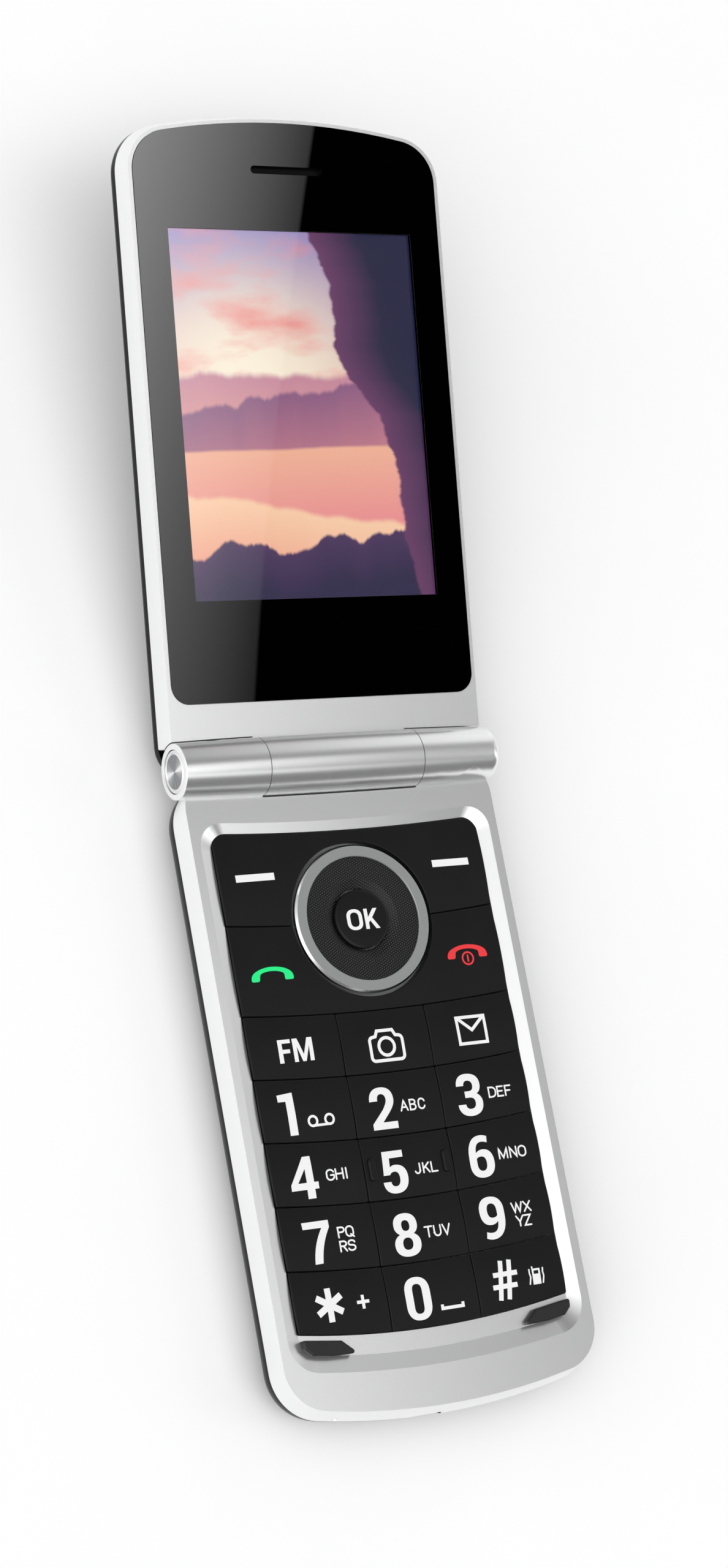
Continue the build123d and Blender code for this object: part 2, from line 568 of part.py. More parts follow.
ear = slab(Pos(0, EAR_T) * RectangleRounded(15.0, 6.6, 1.2), -4.4, -2.12)
ear -= slab(Pos(0, EAR_T) * RectangleRounded(12.6, 4.2, 0.8), -2.35, -2)
parts["earpiece"] = in_lid(ear)

tray = slab(Pos(0, TRAY_T) * RectangleRounded(TRAY_SIZE[0], TRAY_SIZE[1], 0.6), -4.4, -2.1)
tray -= slab(Pos(0, PANEL_T) * Rectangle(PANEL_SIZE[0] + 0.2, PANEL_SIZE[1] + 0.2), -3.16, -2)
parts["display_tray"] = in_lid(tray)
panel = slab(Pos(0, PANEL_T) * Rectangle(*PANEL_SIZE), -3.12, -2.05)
parts["display_panel"] = in_lid(panel)

lid_board = block(-22.0, 22.0, 12.6, 88.0, -5.1, -4.5)
for x, t in LID_SCREWS:
    lid_board -= upright(x, t, 2.6, -6, -4)
parts["lid_board"] = in_lid(lid_board)

x, t = CAMERA_POS
camera = block(x - 4.1, x + 4.1, t - 4.1, t + 4.1, -5.6, -3.05)
camera += upright(x, t, 2.7, -6.85, -5.4)
camera -= upright(x, t, 1.3, -7, -6.3)
parts["camera_module"] = in_lid(camera)
parts["camera_window"] = in_lid(upright(x, t, 3.66, -7.46, -6.97))

parts["lid_magnet"] = in_lid(block(17.5, 20.5, 9.0, 12.0, -6.2, -4.75))

lid_screws = Part()
for x, t in LID_SCREWS:
    head = upright(x, t, 1.35, -7.05, -6.28) - block(x - 0.2, x + 0.2, t - 1, t + 1, -8, -6.75)
    lid_screws += head + upright(x, t, SCREW_R, -6.3, -2.75)
parts["lid_screws"] = in_lid(lid_screws)

# ------------------------------------------------------------------ export
for name, shape in parts.items():
    export_step(shape, f"parts/{name}.step")
    box = shape.bounding_box()
    print(name, len(shape.solids()), round(shape.volume, 2), box.min, box.max)
print(len(parts), "nodes")
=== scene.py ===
# %% [markdown]
# # A flip phone in Blender
# This lesson dresses a flip phone whose solid parts come ready made: every shell, key, screw and hinge
# piece is already in its place. What is left for Blender is what the eye judges first: lacquer, gloss,
# glass, printed legends, a lit screen, and studio light. We start by loading the solid parts.

# %% Load the solid parts
import json
import math

import bpy
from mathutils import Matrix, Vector


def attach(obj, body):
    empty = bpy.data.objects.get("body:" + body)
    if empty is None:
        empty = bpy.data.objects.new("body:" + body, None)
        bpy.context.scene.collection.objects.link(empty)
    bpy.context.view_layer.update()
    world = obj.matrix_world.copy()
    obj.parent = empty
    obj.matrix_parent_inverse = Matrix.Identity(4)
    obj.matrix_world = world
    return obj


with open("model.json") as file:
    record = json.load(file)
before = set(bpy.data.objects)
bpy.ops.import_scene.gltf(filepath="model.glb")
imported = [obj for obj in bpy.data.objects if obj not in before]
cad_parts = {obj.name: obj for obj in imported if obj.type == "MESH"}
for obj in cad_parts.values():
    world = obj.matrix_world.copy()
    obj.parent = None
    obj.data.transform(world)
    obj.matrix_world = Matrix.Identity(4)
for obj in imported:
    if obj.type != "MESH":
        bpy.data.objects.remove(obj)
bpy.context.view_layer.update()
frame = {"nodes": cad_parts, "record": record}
nodes = frame["nodes"]

# %% [markdown]
# ## Places on the phone
# A phone is drawn flat, half by half. On the base we measure x across and s down the keypad from the
# hinge. On the lid we measure x across and t up the window from the hinge. Two small functions turn such
# a place and a height above the face, all in millimetres, into Blender's metres.

# %% Millimetres, base places and lid places
MM = 0.001
HINGE_Y = 50.0
HINGE_Z = 9.8
LID_RAISE = math.radians(12.2)
NAV_S = 24.86
SCREEN_T = 54.65


def base_place(x, s, height=0.0):
    return Vector((x, HINGE_Y - s, HINGE_Z + height)) * MM


def lid_place(x, t, height=0.0):
    y = t * math.cos(LID_RAISE) - height * math.sin(LID_RAISE)
    z = t * math.sin(LID_RAISE) + height * math.cos(LID_RAISE)
    return Vector((x, HINGE_Y + y, HINGE_Z + z)) * MM


print("middle of the OK key:", base_place(0, NAV_S), "middle of the screen:", lid_place(0, SCREEN_T))

# %% [markdown]
# ## The camera
# The phone is seen from high on its left, turned in the hand, through a long lens that keeps its sides
# almost parallel. The camera gets a place and three angles, and the lens its focal length on a 36 mm
# sensor. A short lens would make the near end look swollen.

# %% Camera
CAMERA_PLACE = (-0.25126, -0.05833, 0.43958)
CAMERA_TURN = (17.614, -28.047, -11.779)
LENS_MM = 75.19
SENSOR_MM = 36.0
NEAREST, FURTHEST = 0.02, 20.0

bpy.ops.object.camera_add(location=CAMERA_PLACE)
camera = bpy.context.object
camera.name = "studio_camera"
camera.rotation_euler = [math.radians(a) for a in CAMERA_TURN]
camera.data.lens = LENS_MM
camera.data.sensor_width = SENSOR_MM
camera.data.clip_start = NEAREST
camera.data.clip_end = FURTHEST
bpy.context.scene.camera = camera
print("camera at", camera.location[:], "lens", camera.data.lens, "mm")

# %% [markdown]
# ## Small helpers for materials
# Every material is a little network of nodes. One function adds a node, sets what has to be set and joins
# it to its neighbours, so a material reads as a recipe. Colours are picked on a screen as hex codes, so
# they are turned into the linear light that the renderer works with.

# %% Colour and node helpers
def colour(code):
    """A hex colour as linear red, green, blue and alpha."""
    parts = [int(code[i:i + 2], 16) / 255 for i in (1, 3, 5)]
    light = [p / 12.92 if p <= 0.04045 else ((p + 0.055) / 1.055) ** 2.4 for p in parts]
    return (*light, 1.0)


def add(tree, kind, inputs=None, feeds=None, **settings):
    """Adds a node. Inputs take a value or another node's socket; feeds joins an output to a socket."""
    made = tree.nodes.new(kind)
    for name, value in settings.items():
        setattr(made, name, value)
    for name, value in (inputs or {}).items():
        if isinstance(value, bpy.types.NodeSocket):
            tree.links.new(value, made.inputs[name])
        else:
            made.inputs[name].default_value = value
    for name, socket in (feeds or {}).items():
        tree.links.new(made.outputs[name], socket)
    return made


def new_material(name, **sockets):
    """A material with one Principled shader whose own sockets hold the values given."""
    material = bpy.data.materials.new(name)
    material.use_nodes = True
    shader = material.node_tree.nodes["Principled BSDF"]
    for socket, value in sockets.items():
        shader.inputs[socket.replace("_", " ")].default_value = value
    return material, material.node_tree, shader


def set_stops(ramp, pairs):
    """Gives a colour ramp its stops, from pairs of place and colour that run from 0 to 1."""
    stops = ramp.color_ramp.elements
    for number, (spot, shade) in enumerate(pairs):
        if number == 0:
            stop = stops[0]
        elif number == len(pairs) - 1:
            stop = stops[-1]
        else:
            stop = stops.new(spot)
        stop.position = spot
        stop.color = shade


def masked(tree, sides):
    """One factor from several sides: each is a value, where it starts to count, and counts fully."""
    factor = None
    for value, starts, full in sides:
        side = add(tree, "ShaderNodeMapRange",
                   {"Value": value, "From Min": starts, "From Max": full}).outputs[0]
        if factor is not None:
            side = add(tree, "ShaderNodeMath", {0: factor, 1: side}, operation="MULTIPLY").outputs[0]
        factor = side
    return factor


def two_tone(tree, shader, pattern, dark, light, roughness=None):
    """A pattern from 0 to 1 sets the shader's colour and, where a pair is given, its roughness."""
    add(tree, "ShaderNodeMix", {0: pattern, 6: colour(dark), 7: colour(light)},
        {2: shader.inputs["Base Color"]}, data_type="RGBA")
    if roughness:
        smooth, rough = roughness
        add(tree, "ShaderNodeMapRange", {"Value": pattern, "To Min": smooth, "To Max": rough},
            {0: shader.inputs["Roughness"]})


def away_from(tree, place, middle, across):
    """The way from a middle to a place, the part of it across an axis, and that part's length."""
    away = add(tree, "ShaderNodeVectorMath", {0: place, 1: middle}, operation="SUBTRACT").outputs[0]
    flat = add(tree, "ShaderNodeVectorMath", {0: away, 1: across}, operation="MULTIPLY").outputs[0]
    radius = add(tree, "ShaderNodeVectorMath", {0: flat}, operation="LENGTH").outputs["Value"]
    return away, flat, radius


print("helpers ready; mid grey is", [round(v, 3) for v in colour("#808080")])

# %% [markdown]
# ## Silver lacquer
# The frames of both halves and the barrel are ABS, moulded and then sprayed with a silver lacquer. The
# lacquer carries aluminium flakes a tenth of a millimetre across, so it reflects like a satin metal with
# a faint grain, and it lies over the moulding in a very slight orange peel. So the shader is almost a
# metal, its colour and roughness wander with the flakes, and slow noise bends the light a little.
# The barrel needs one thing more. A metal shows every change of direction, and even fine facets make its
# bright bands waver. Its true direction at any place is known: straight out from the hinge axis, leaning a
# little outwards because the barrel is crowned, and turning over at the rounded right end. So the shader
# works it out wherever the surface already faces almost that way.

# %% The barrel's true direction
BARREL_R_MM = 4.73
CROWN_R_MM = 1194.0
ROUND_END_MM = 1.5
ROUND_FROM_X, ROUND_FROM_R = 26.57, 2.85
ALMOST = 0.97                # the cosine from which a surface faces almost that way
FADE = 0.01                  # how far the change is drawn out, as a cosine and in millimetres
LEAST_INWARD = 0.01          # so that nothing is divided by zero


def barrel_normal(tree, place):
    """The barrel's true direction where a surface nearly has it, and the surface's own elsewhere."""
    middle, flat, radius = away_from(tree, place, base_place(0, 0), (0, 1, 1))
    x = add(tree, "ShaderNodeSeparateXYZ", {"Vector": middle}).outputs["X"]
    straight_out = add(tree, "ShaderNodeVectorMath", {0: flat}, operation="NORMALIZE").outputs[0]
    past = add(tree, "ShaderNodeMapRange", {
        "Value": x, "From Min": ROUND_FROM_X * MM,
        "From Max": (ROUND_FROM_X + ROUND_END_MM) * MM}).outputs[0]
    inward = add(tree, "ShaderNodeMapRange", {
        "Value": radius, "From Min": ROUND_FROM_R * MM,
        "From Max": (ROUND_FROM_R + ROUND_END_MM) * MM, "To Min": LEAST_INWARD}).outputs[0]
    lean = add(tree, "ShaderNodeMath", {0: past, 1: inward}, operation="DIVIDE").outputs[0]
    lean = add(tree, "ShaderNodeMath", {0: x, 1: 1 / (CROWN_R_MM * MM), 2: lean},
               operation="MULTIPLY_ADD").outputs[0]
    sideways = add(tree, "ShaderNodeCombineXYZ", {"X": lean}).outputs[0]
    facing = add(tree, "ShaderNodeVectorMath", {0: straight_out, 1: sideways},
                 operation="ADD").outputs[0]
    facing = add(tree, "ShaderNodeVectorTransform", {"Vector": facing}, vector_type="NORMAL",
                 convert_from="OBJECT", convert_to="WORLD").outputs[0]
    facing = add(tree, "ShaderNodeVectorMath", {0: facing}, operation="NORMALIZE").outputs[0]
    surface = add(tree, "ShaderNodeNewGeometry")
    match = add(tree, "ShaderNodeVectorMath", {0: facing, 1: surface.outputs["True Normal"]},
                operation="DOT_PRODUCT").outputs["Value"]
    on_barrel = masked(tree, [(match, ALMOST - FADE, ALMOST),
                              (radius, (BARREL_R_MM + FADE) * MM, BARREL_R_MM * MM)])
    return add(tree, "ShaderNodeMix", {0: on_barrel, 4: surface.outputs["Normal"], 5: facing},
               data_type="VECTOR").outputs[1]


print("barrel of radius", BARREL_R_MM, "mm, crowned to", CROWN_R_MM, "mm")

# %% Silver lacquer on ABS
FLAKE_MM = 0.12
ORANGE_PEEL_MM = 1.6
PEEL_DEPTH_MM = 0.00012
SATIN = (0.24, 0.28)


def silver_lacquer():
    material, tree, shader = new_material("silver_lacquer_on_abs", Metallic=0.9, Coat_Weight=0.1,
                                          Coat_Roughness=0.2)
    place = add(tree, "ShaderNodeTexCoord").outputs["Object"]
    flakes = add(tree, "ShaderNodeTexNoise",
                 {"Vector": place, "Scale": 1 / (FLAKE_MM * MM), "Detail": 1.0})
    two_tone(tree, shader, flakes.outputs["Fac"], "#eeefef", "#f7f7f7", SATIN)
    peel = add(tree, "ShaderNodeTexNoise",
               {"Vector": place, "Scale": 1 / (ORANGE_PEEL_MM * MM), "Detail": 2.0})
    add(tree, "ShaderNodeBump", {"Height": peel.outputs["Fac"], "Distance": PEEL_DEPTH_MM * MM,
                                 "Normal": barrel_normal(tree, place)}, {0: shader.inputs["Normal"]})
    return material


print("silver lacquer, flakes of", FLAKE_MM, "mm")

# %% [markdown]
# ## Moulded plastics and rubber
# Most other parts are plastics that differ in colour, gloss and the texture of their mould. One recipe
# covers them: a colour that wanders a little, a roughness that wanders with it, and a fine mould grain
# as bump. The grain size in millimetres is what tells satin key tops from rubber or gloss shells.

# %% Moulded plastic recipe
CLOUD_MM = 9.0


def moulded(name, dark, light, roughness, grain_mm, depth_mm, wander=0.04, **sockets):
    material, tree, shader = new_material(name, **sockets)
    place = add(tree, "ShaderNodeTexCoord").outputs["Object"]
    cloud = add(tree, "ShaderNodeTexNoise",
                {"Vector": place, "Scale": 1 / (CLOUD_MM * MM), "Detail": 2.0})
    two_tone(tree, shader, cloud.outputs["Fac"], dark, light, (roughness - wander, roughness + wander))
    grain = add(tree, "ShaderNodeTexNoise",
                {"Vector": place, "Scale": 1 / (grain_mm * MM), "Detail": 3.0})
    add(tree, "ShaderNodeBump", {"Height": grain.outputs["Fac"], "Distance": depth_mm * MM},
        {0: shader.inputs["Normal"]})
    return material


print("moulded plastic, clouds of", CLOUD_MM, "mm")

# %% [markdown]
# ## The navigation key
# Its ring is an aluminium pressing, sprayed grey on top, whose outer bevel was cut bright on a lathe with
# a diamond. So the ring has two finishes, parted by the distance from its middle. The disc inside is
# moulded with a lattice of tiny raised dots that stops the thumb from slipping. They stand in rows that
# are turned by sixty degrees, like the cells of a comb. Three sets of waves crossing at sixty degrees
# add up to exactly that lattice.

# %% Ring with a bright cut bevel
BRIGHT_FROM_MM = 11.42


def cut_ring():
    material, tree, shader = new_material("grey_lacquer_with_diamond_cut_bevel", Coat_Weight=0.1)
    place = add(tree, "ShaderNodeTexCoord").outputs["Object"]
    _, _, radius = away_from(tree, place, base_place(0, NAV_S), (1, 1, 0))
    bright = add(tree, "ShaderNodeMath", {0: radius, 1: BRIGHT_FROM_MM * MM},
                 operation="GREATER_THAN").outputs[0]
    speckle = add(tree, "ShaderNodeTexNoise",
                  {"Vector": place, "Scale": 1 / (FLAKE_MM * MM), "Detail": 1.0})
    spray = add(tree, "ShaderNodeMix",
                {0: speckle.outputs["Fac"], 6: colour("#949795"), 7: colour("#a0a3a1")},
                data_type="RGBA").outputs[2]
    add(tree, "ShaderNodeMix", {0: bright, 6: spray, 7: colour("#d4d4d4")}, {2: shader.inputs["Base Color"]},
        data_type="RGBA")
    add(tree, "ShaderNodeMapRange", {"Value": bright, "To Min": 0.45, "To Max": 1.0},
        {0: shader.inputs["Metallic"]})
    add(tree, "ShaderNodeMapRange", {"Value": bright, "To Min": 0.42, "To Max": 0.16},
        {0: shader.inputs["Roughness"]})
    return material


print("bevel bright from a radius of", BRIGHT_FROM_MM, "mm")

# %% Dotted plastic
DOT_PITCH_MM = 0.42          # about a third of a millimetre on the real key; coarser here, so that it shows
DOT_HEIGHT_MM = 0.05
DOT_FOOT, DOT_TOP = -0.4, 2.2     # of the three waves added up, which run from -1.5 to 3


def dotted_plastic():
    material, tree, shader = new_material("black_plastic_with_moulded_dots", Roughness=0.42,
                                          Specular_IOR_Level=0.3)
    place = add(tree, "ShaderNodeTexCoord").outputs["Object"]
    row_gap = math.sqrt(3) / 2 * DOT_PITCH_MM * MM
    waves = []
    for turn in (0, 60, 120):
        turned = add(tree, "ShaderNodeMapping", {"Vector": place, "Rotation": (0, 0, math.radians(turn))})
        axes = add(tree, "ShaderNodeSeparateXYZ", {"Vector": turned.outputs[0]})
        phase = add(tree, "ShaderNodeMath", {0: axes.outputs["X"], 1: 2 * math.pi / row_gap},
                    operation="MULTIPLY")
        waves.append(add(tree, "ShaderNodeMath", {0: phase.outputs[0]}, operation="COSINE").outputs[0])
    two = add(tree, "ShaderNodeMath", {0: waves[0], 1: waves[1]}, operation="ADD").outputs[0]
    three = add(tree, "ShaderNodeMath", {0: two, 1: waves[2]}, operation="ADD").outputs[0]
    dot = add(tree, "ShaderNodeMapRange",
              {"Value": three, "From Min": DOT_FOOT, "From Max": DOT_TOP}).outputs[0]
    # The dot tops are painted lighter grey than the disc, a painted highlight where they catch the light;
    # the bump gives their real height.
    two_tone(tree, shader, dot, "#020202", "#3c3d3f")
    add(tree, "ShaderNodeBump", {"Height": dot, "Distance": DOT_HEIGHT_MM * MM},
        {0: shader.inputs["Normal"]})
    return material


print("dots", DOT_PITCH_MM, "mm apart and", DOT_HEIGHT_MM, "mm high")

# %% [markdown]
# ## The window
# The lid's window is one sheet of clear acrylic, screen printed in black from behind, except over the
# display. So the sheet is opaque, deep black and glossy around, and truly clear in the middle. A mask
# worked out from the place on the lid tells the shader where the print stops: four sides, two across
# and two along, multiplied into one. A hard coat makes the sheet mirror more than bare acrylic does,
# so its specular level is twice the usual.

# %% Acrylic window with printed border
SCREEN_HALF_WIDTH, SCREEN_HALF_LENGTH = 21.6, 28.8
SCREEN_NEAR, SCREEN_FAR = SCREEN_T - SCREEN_HALF_LENGTH, SCREEN_T + SCREEN_HALF_LENGTH
PRINT_EDGE = 0.01


def printed_window():
    material, tree, shader = new_material("acrylic_window_printed_black", Roughness=0.0, IOR=1.6,
                                          Specular_IOR_Level=1.0)
    place = add(tree, "ShaderNodeTexCoord").outputs["Object"]
    moved = add(tree, "ShaderNodeVectorMath", {0: place, 1: lid_place(0, 0)}, operation="SUBTRACT")
    flat = add(tree, "ShaderNodeMapping", {"Vector": moved.outputs[0], "Rotation": (-LID_RAISE, 0, 0)})
    axes = add(tree, "ShaderNodeSeparateXYZ", {"Vector": flat.outputs[0]})
    x, y = axes.outputs["X"], axes.outputs["Y"]
    clear = masked(tree, [(x, -SCREEN_HALF_WIDTH * MM, -(SCREEN_HALF_WIDTH - PRINT_EDGE) * MM),
                          (x, SCREEN_HALF_WIDTH * MM, (SCREEN_HALF_WIDTH - PRINT_EDGE) * MM),
                          (y, SCREEN_NEAR * MM, (SCREEN_NEAR + PRINT_EDGE) * MM),
                          (y, SCREEN_FAR * MM, (SCREEN_FAR - PRINT_EDGE) * MM)])
    tree.links.new(clear, shader.inputs["Transmission Weight"])
    two_tone(tree, shader, clear, "#010101", "#ffffff")
    return material


print("clear window from", SCREEN_NEAR, "to", SCREEN_FAR, "mm")

# %% [markdown]
# ## The camera's cover glass
# In the lid's back a small round glass covers the camera. It is printed black behind, up to a bright ring,
# and inside the ring the lens barrel shows as dark steps round a lens that gleams a little violet. The
# module sits right behind the glass, so rings drawn on the glass look the same as a clear glass over a
# modelled lens. The distance from the middle, measured in the lid's own slope, picks the ring.

# %% Rings seen through the cover glass
CAMERA_MIDDLE = lid_place(16.5, 92.6, -7.2)
LENS_VIEW_R_MM = 2.6
# The violet in the middle is a painted reflection of the lens coating, and the barrel's steps are painted
# rings of light and shade.
LENS_VIEW = [                # share of the seen radius, then the colour from there on
    (0.0, "#1c1530"), (0.26, "#0a0812"), (0.38, "#050507"), (0.44, "#3c3d40"), (0.50, "#08080a"),
    (0.70, "#111113"), (0.74, "#050507"), (0.88, "#050507"), (0.91, "#8d8f92"), (1.0, "#030304"),
]


def camera_cover_glass():
    material, tree, shader = new_material("printed_camera_cover_glass", Roughness=0.04,
                                          Specular_IOR_Level=0.35)
    place = add(tree, "ShaderNodeTexCoord").outputs["Object"]
    away = add(tree, "ShaderNodeVectorMath", {0: place, 1: CAMERA_MIDDLE}, operation="SUBTRACT").outputs[0]
    straight_up = (0, -math.sin(LID_RAISE), math.cos(LID_RAISE))
    flat = add(tree, "ShaderNodeVectorMath", {0: away, 1: straight_up},
               operation="CROSS_PRODUCT").outputs[0]
    radius = add(tree, "ShaderNodeVectorMath", {0: flat}, operation="LENGTH").outputs["Value"]
    share = add(tree, "ShaderNodeMapRange",
                {"Value": radius, "From Max": LENS_VIEW_R_MM * MM}).outputs[0]
    rings = add(tree, "ShaderNodeValToRGB", {"Fac": share}, {"Color": shader.inputs["Base Color"]})
    set_stops(rings, [(spot, colour(code)) for spot, code in LENS_VIEW])
    return material


print("rings out to a radius of", LENS_VIEW_R_MM, "mm")

# %% [markdown]
# ## Metals, boards and other inner parts
# Inside are a steel hinge unit, screws, a battery, boards and connectors. They are hardly seen, yet they
# are parts of the phone, so each gets the look of its own trade: nickel plate with fine brushing, gold
# flash on contacts, green laminate with its weave, and a spun aluminium disc on the barrel's end. A mark
# of brushing is long one way and narrow the others, so the noise is stretched by a different size on
# each axis.

# %% Metal recipe
MARK_DEPTH_MM = 0.004
MARK_SWING = 0.08            # of the roughness, to each side


def worked_metal(name, dark, light, roughness, marks_mm, **sockets):
    """A metal with tool marks: marks_mm is the size of a mark along x, y and z."""
    material, tree, shader = new_material(name, Metallic=1.0, **sockets)
    place = add(tree, "ShaderNodeTexCoord").outputs["Object"]
    stretched = add(tree, "ShaderNodeMapping",
                    {"Vector": place, "Scale": [1 / (m * MM) for m in marks_mm]})
    grain = add(tree, "ShaderNodeTexNoise", {"Vector": stretched.outputs[0], "Scale": 1.0, "Detail": 3.0})
    two_tone(tree, shader, grain.outputs["Fac"], dark, light,
             (roughness - MARK_SWING, roughness + MARK_SWING))
    add(tree, "ShaderNodeBump", {"Height": grain.outputs["Fac"], "Distance": MARK_DEPTH_MM * MM},
        {0: shader.inputs["Normal"]})
    return material


print("worked metal, marks", MARK_DEPTH_MM, "mm deep")

# %% Spun aluminium, with fans of light painted into its colour
TURNING_MM = 0.18            # the real turning marks are finer; coarser here, so that they show
TURNING_DEPTH_MM = 0.002
FACE_R_MM = 2.66
# Painted highlight: shares of the angle round the disc, then the colour that draws the fans of light there.
PAINTED_FAN_HIGHLIGHTS = [(0.0, "#6f7072"), (0.10, "#98999b"), (0.50, "#8a8b8d"), (0.80, "#a3a4a6"), (0.94, "#b6b7b8"),
        (0.985, "#e6e6e7"), (1.0, "#fafafa")]


def spun_aluminium():
    """Turning leaves rings so fine that they mostly show as bright fans across the disc, painted here as
    highlights.
    """
    material, tree, shader = new_material("spun_aluminium", Metallic=1.0, Anisotropic=0.85)
    place = add(tree, "ShaderNodeTexCoord").outputs["Object"]
    add(tree, "ShaderNodeTangent", None, {0: shader.inputs["Tangent"]}, direction_type="RADIAL", axis="X")
    middle, flat, radius = away_from(tree, place, base_place(0, 0), (0, 1, 1))
    spoke = add(tree, "ShaderNodeVectorMath", {0: flat}, operation="NORMALIZE").outputs[0]
    axes = add(tree, "ShaderNodeSeparateXYZ", {"Vector": spoke})
    upright = add(tree, "ShaderNodeMath", {0: axes.outputs["Z"]}, operation="ABSOLUTE").outputs[0]
    # Painted highlight: the colour runs lighter and darker with the angle round the disc, drawing its bright
    # fans.
    painted_fans = add(tree, "ShaderNodeValToRGB", {"Fac": upright})
    set_stops(painted_fans, [(spot, colour(code)) for spot, code in PAINTED_FAN_HIGHLIGHTS])
    outside = add(tree, "ShaderNodeMath", {0: radius, 1: FACE_R_MM * MM},
                  operation="GREATER_THAN").outputs[0]
    add(tree, "ShaderNodeMix", {0: outside, 6: painted_fans.outputs["Color"], 7: colour("#ececed")},
        {2: shader.inputs["Base Color"]}, data_type="RGBA")
    rings = add(tree, "ShaderNodeTexWave", {"Vector": middle, "Scale": 0.5 / (TURNING_MM * MM)},
                wave_type="RINGS", rings_direction="X")
    add(tree, "ShaderNodeMapRange", {"Value": rings.outputs["Fac"], "To Min": 0.26, "To Max": 0.34},
        {0: shader.inputs["Roughness"]})
    add(tree, "ShaderNodeBump", {"Height": rings.outputs["Fac"], "Distance": TURNING_DEPTH_MM * MM},
        {0: shader.inputs["Normal"]})
    return material


print("spun aluminium, turning marks", TURNING_DEPTH_MM, "mm deep")

# %% [markdown]
# ## Hand every part its finish
# The record that came with the parts names a material slot for each one. We build one material per slot
# and give it to all the parts of that slot, so a part can't be forgotten. The black lacquers get a low
# specular level, because a soft-touch coat mirrors less than bare plastic does.

# %% Materials by slot
FINISHES = {
    "silver_lacquer": silver_lacquer(),
    "black_gloss": moulded("gloss_black_abs", "#060607", "#090909", 0.22, 0.6, 0.003, 0.03,
                           Specular_IOR_Level=0.08),
    "key_black": moulded("satin_black_key_lacquer", "#151516", "#19191a", 0.34, 0.16, 0.004,
                         Specular_IOR_Level=0.15),
    "nav_grey": cut_ring(),
    "nav_black": dotted_plastic(),
    "smoked_window": printed_window(),
    "camera_glass": camera_cover_glass(),
    "display_glass": moulded("display_cell_glass", "#08080c", "#0d0d13", 0.12, 2.0, 0.002, 0.03),
    "rubber_black": moulded("moulded_black_rubber", "#161616", "#1e1e1e", 0.42, 0.25, 0.012,
                            Specular_IOR_Level=0.4),
    "silicone": moulded("translucent_silicone", "#b9b9b2", "#c9c9c2", 0.5, 0.5, 0.01,
                        Subsurface_Weight=0.2),
    "board_green": moulded("glass_fibre_laminate", "#0d4a26", "#12602f", 0.42, 0.35, 0.02),
    "black_resin": moulded("moulded_black_resin", "#101010", "#171717", 0.5, 0.2, 0.01),
    "white_resin": moulded("moulded_white_resin", "#cfcfca", "#dcdcd6", 0.45, 0.3, 0.01),
    "plated_steel": worked_metal("nickel_plated_steel", "#9c9ea0", "#b9bbbd", 0.32, (3.0, 0.12, 0.12)),
    "tungsten": worked_metal("sintered_tungsten", "#565759", "#6a6b6d", 0.5, (0.2, 0.2, 0.2)),
    "gold_contact": worked_metal("gold_flash_on_brass", "#c79a3e", "#e0b45a", 0.28, (0.1, 1.5, 0.1)),
    "cell_can": moulded("printed_battery_sleeve", "#c6cacb", "#d6dadb", 0.38, 0.8, 0.004,
                        Metallic=0.25),
    "spun_metal": spun_aluminium(),
    "hinge_resin": moulded("natural_acetal", "#c8c8bf", "#d6d6cd", 0.35, 0.4, 0.006),
    "flex_film": moulded("polyimide_film", "#7a4310", "#94561a", 0.25, 0.6, 0.004),
}

for part in frame["record"]["subparts"]:
    mesh = nodes[part["node"]].data
    mesh.materials.clear()
    mesh.materials.append(FINISHES[part["material_slot"]])
nodes["earpiece_mesh"].data.materials[0] = FINISHES["black_gloss"]
print(len(FINISHES), "finishes handed to", len(nodes), "parts")

# %% [markdown]
# ## Ink for the legends
# The legends are screen printed in one thick coat of opaque ink. White is used for digits and icons,
# green and red for the call keys. Printed ink is matt and very slightly uneven, which the noise gives.

# %% Inks
INK_MM = 0.03
WHITE_INK, GREEN_INK, RED_INK = (
    moulded(name, dark, light, 0.6, 0.15, 0.003, Specular_IOR_Level=0.2)
    for name, dark, light in (("white_key_ink", "#f0f0f0", "#f5f5f5"),
                              ("green_key_ink", "#24ea84", "#2ef28e"),
                              ("red_key_ink", "#e8393e", "#f24247")))
print("three inks,", INK_MM, "mm thick")

# %% [markdown]
# ## Laying ink on a crowned key
# Each key's top is slightly crowned, so a print must follow it. Every sign is first made flat, a
# millimetre above its key, with cells small enough to bend. A Shrinkwrap modifier then drops it straight
# down onto the key, and a Solidify modifier gives the ink its thickness. All strokes of one legend are
# joined into one piece that rides on its key.

# %% Drop a flat mesh onto a part, and finish a print
def lay_on(piece, part, lift_mm):
    """Drops a flat mesh onto the part below it, and leaves it a hair above."""
    drop = piece.modifiers.new("drop", "SHRINKWRAP")
    drop.target = nodes[part]
    drop.wrap_method = "PROJECT"
    drop.use_project_z = True
    drop.use_negative_direction = True
    drop.use_positive_direction = False
    bpy.context.view_layer.objects.active = piece
    bpy.ops.object.modifier_apply(modifier=drop.name)
    for vertex in piece.data.vertices:
        vertex.co.z += lift_mm * MM


def finish_print(name, pieces, ink, body):
    """Joins the strokes of a legend, gives the ink its thickness and lets it ride on its key."""
    bpy.ops.object.select_all(action="DESELECT")
    for piece in pieces:
        piece.select_set(True)
    bpy.context.view_layer.objects.active = pieces[0]
    if len(pieces) > 1:
        bpy.ops.object.join()
    legend = bpy.context.object
    coat = legend.modifiers.new("coat", "SOLIDIFY")
    coat.thickness = INK_MM * MM
    coat.offset = -1.0
    bpy.ops.object.modifier_apply(modifier=coat.name)
    legend.name = name
    legend.data.name = name
    legend.data.materials.clear()
    legend.data.materials.append(ink)
    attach(legend, body)
    return legend


print("lay_on and finish_print ready")

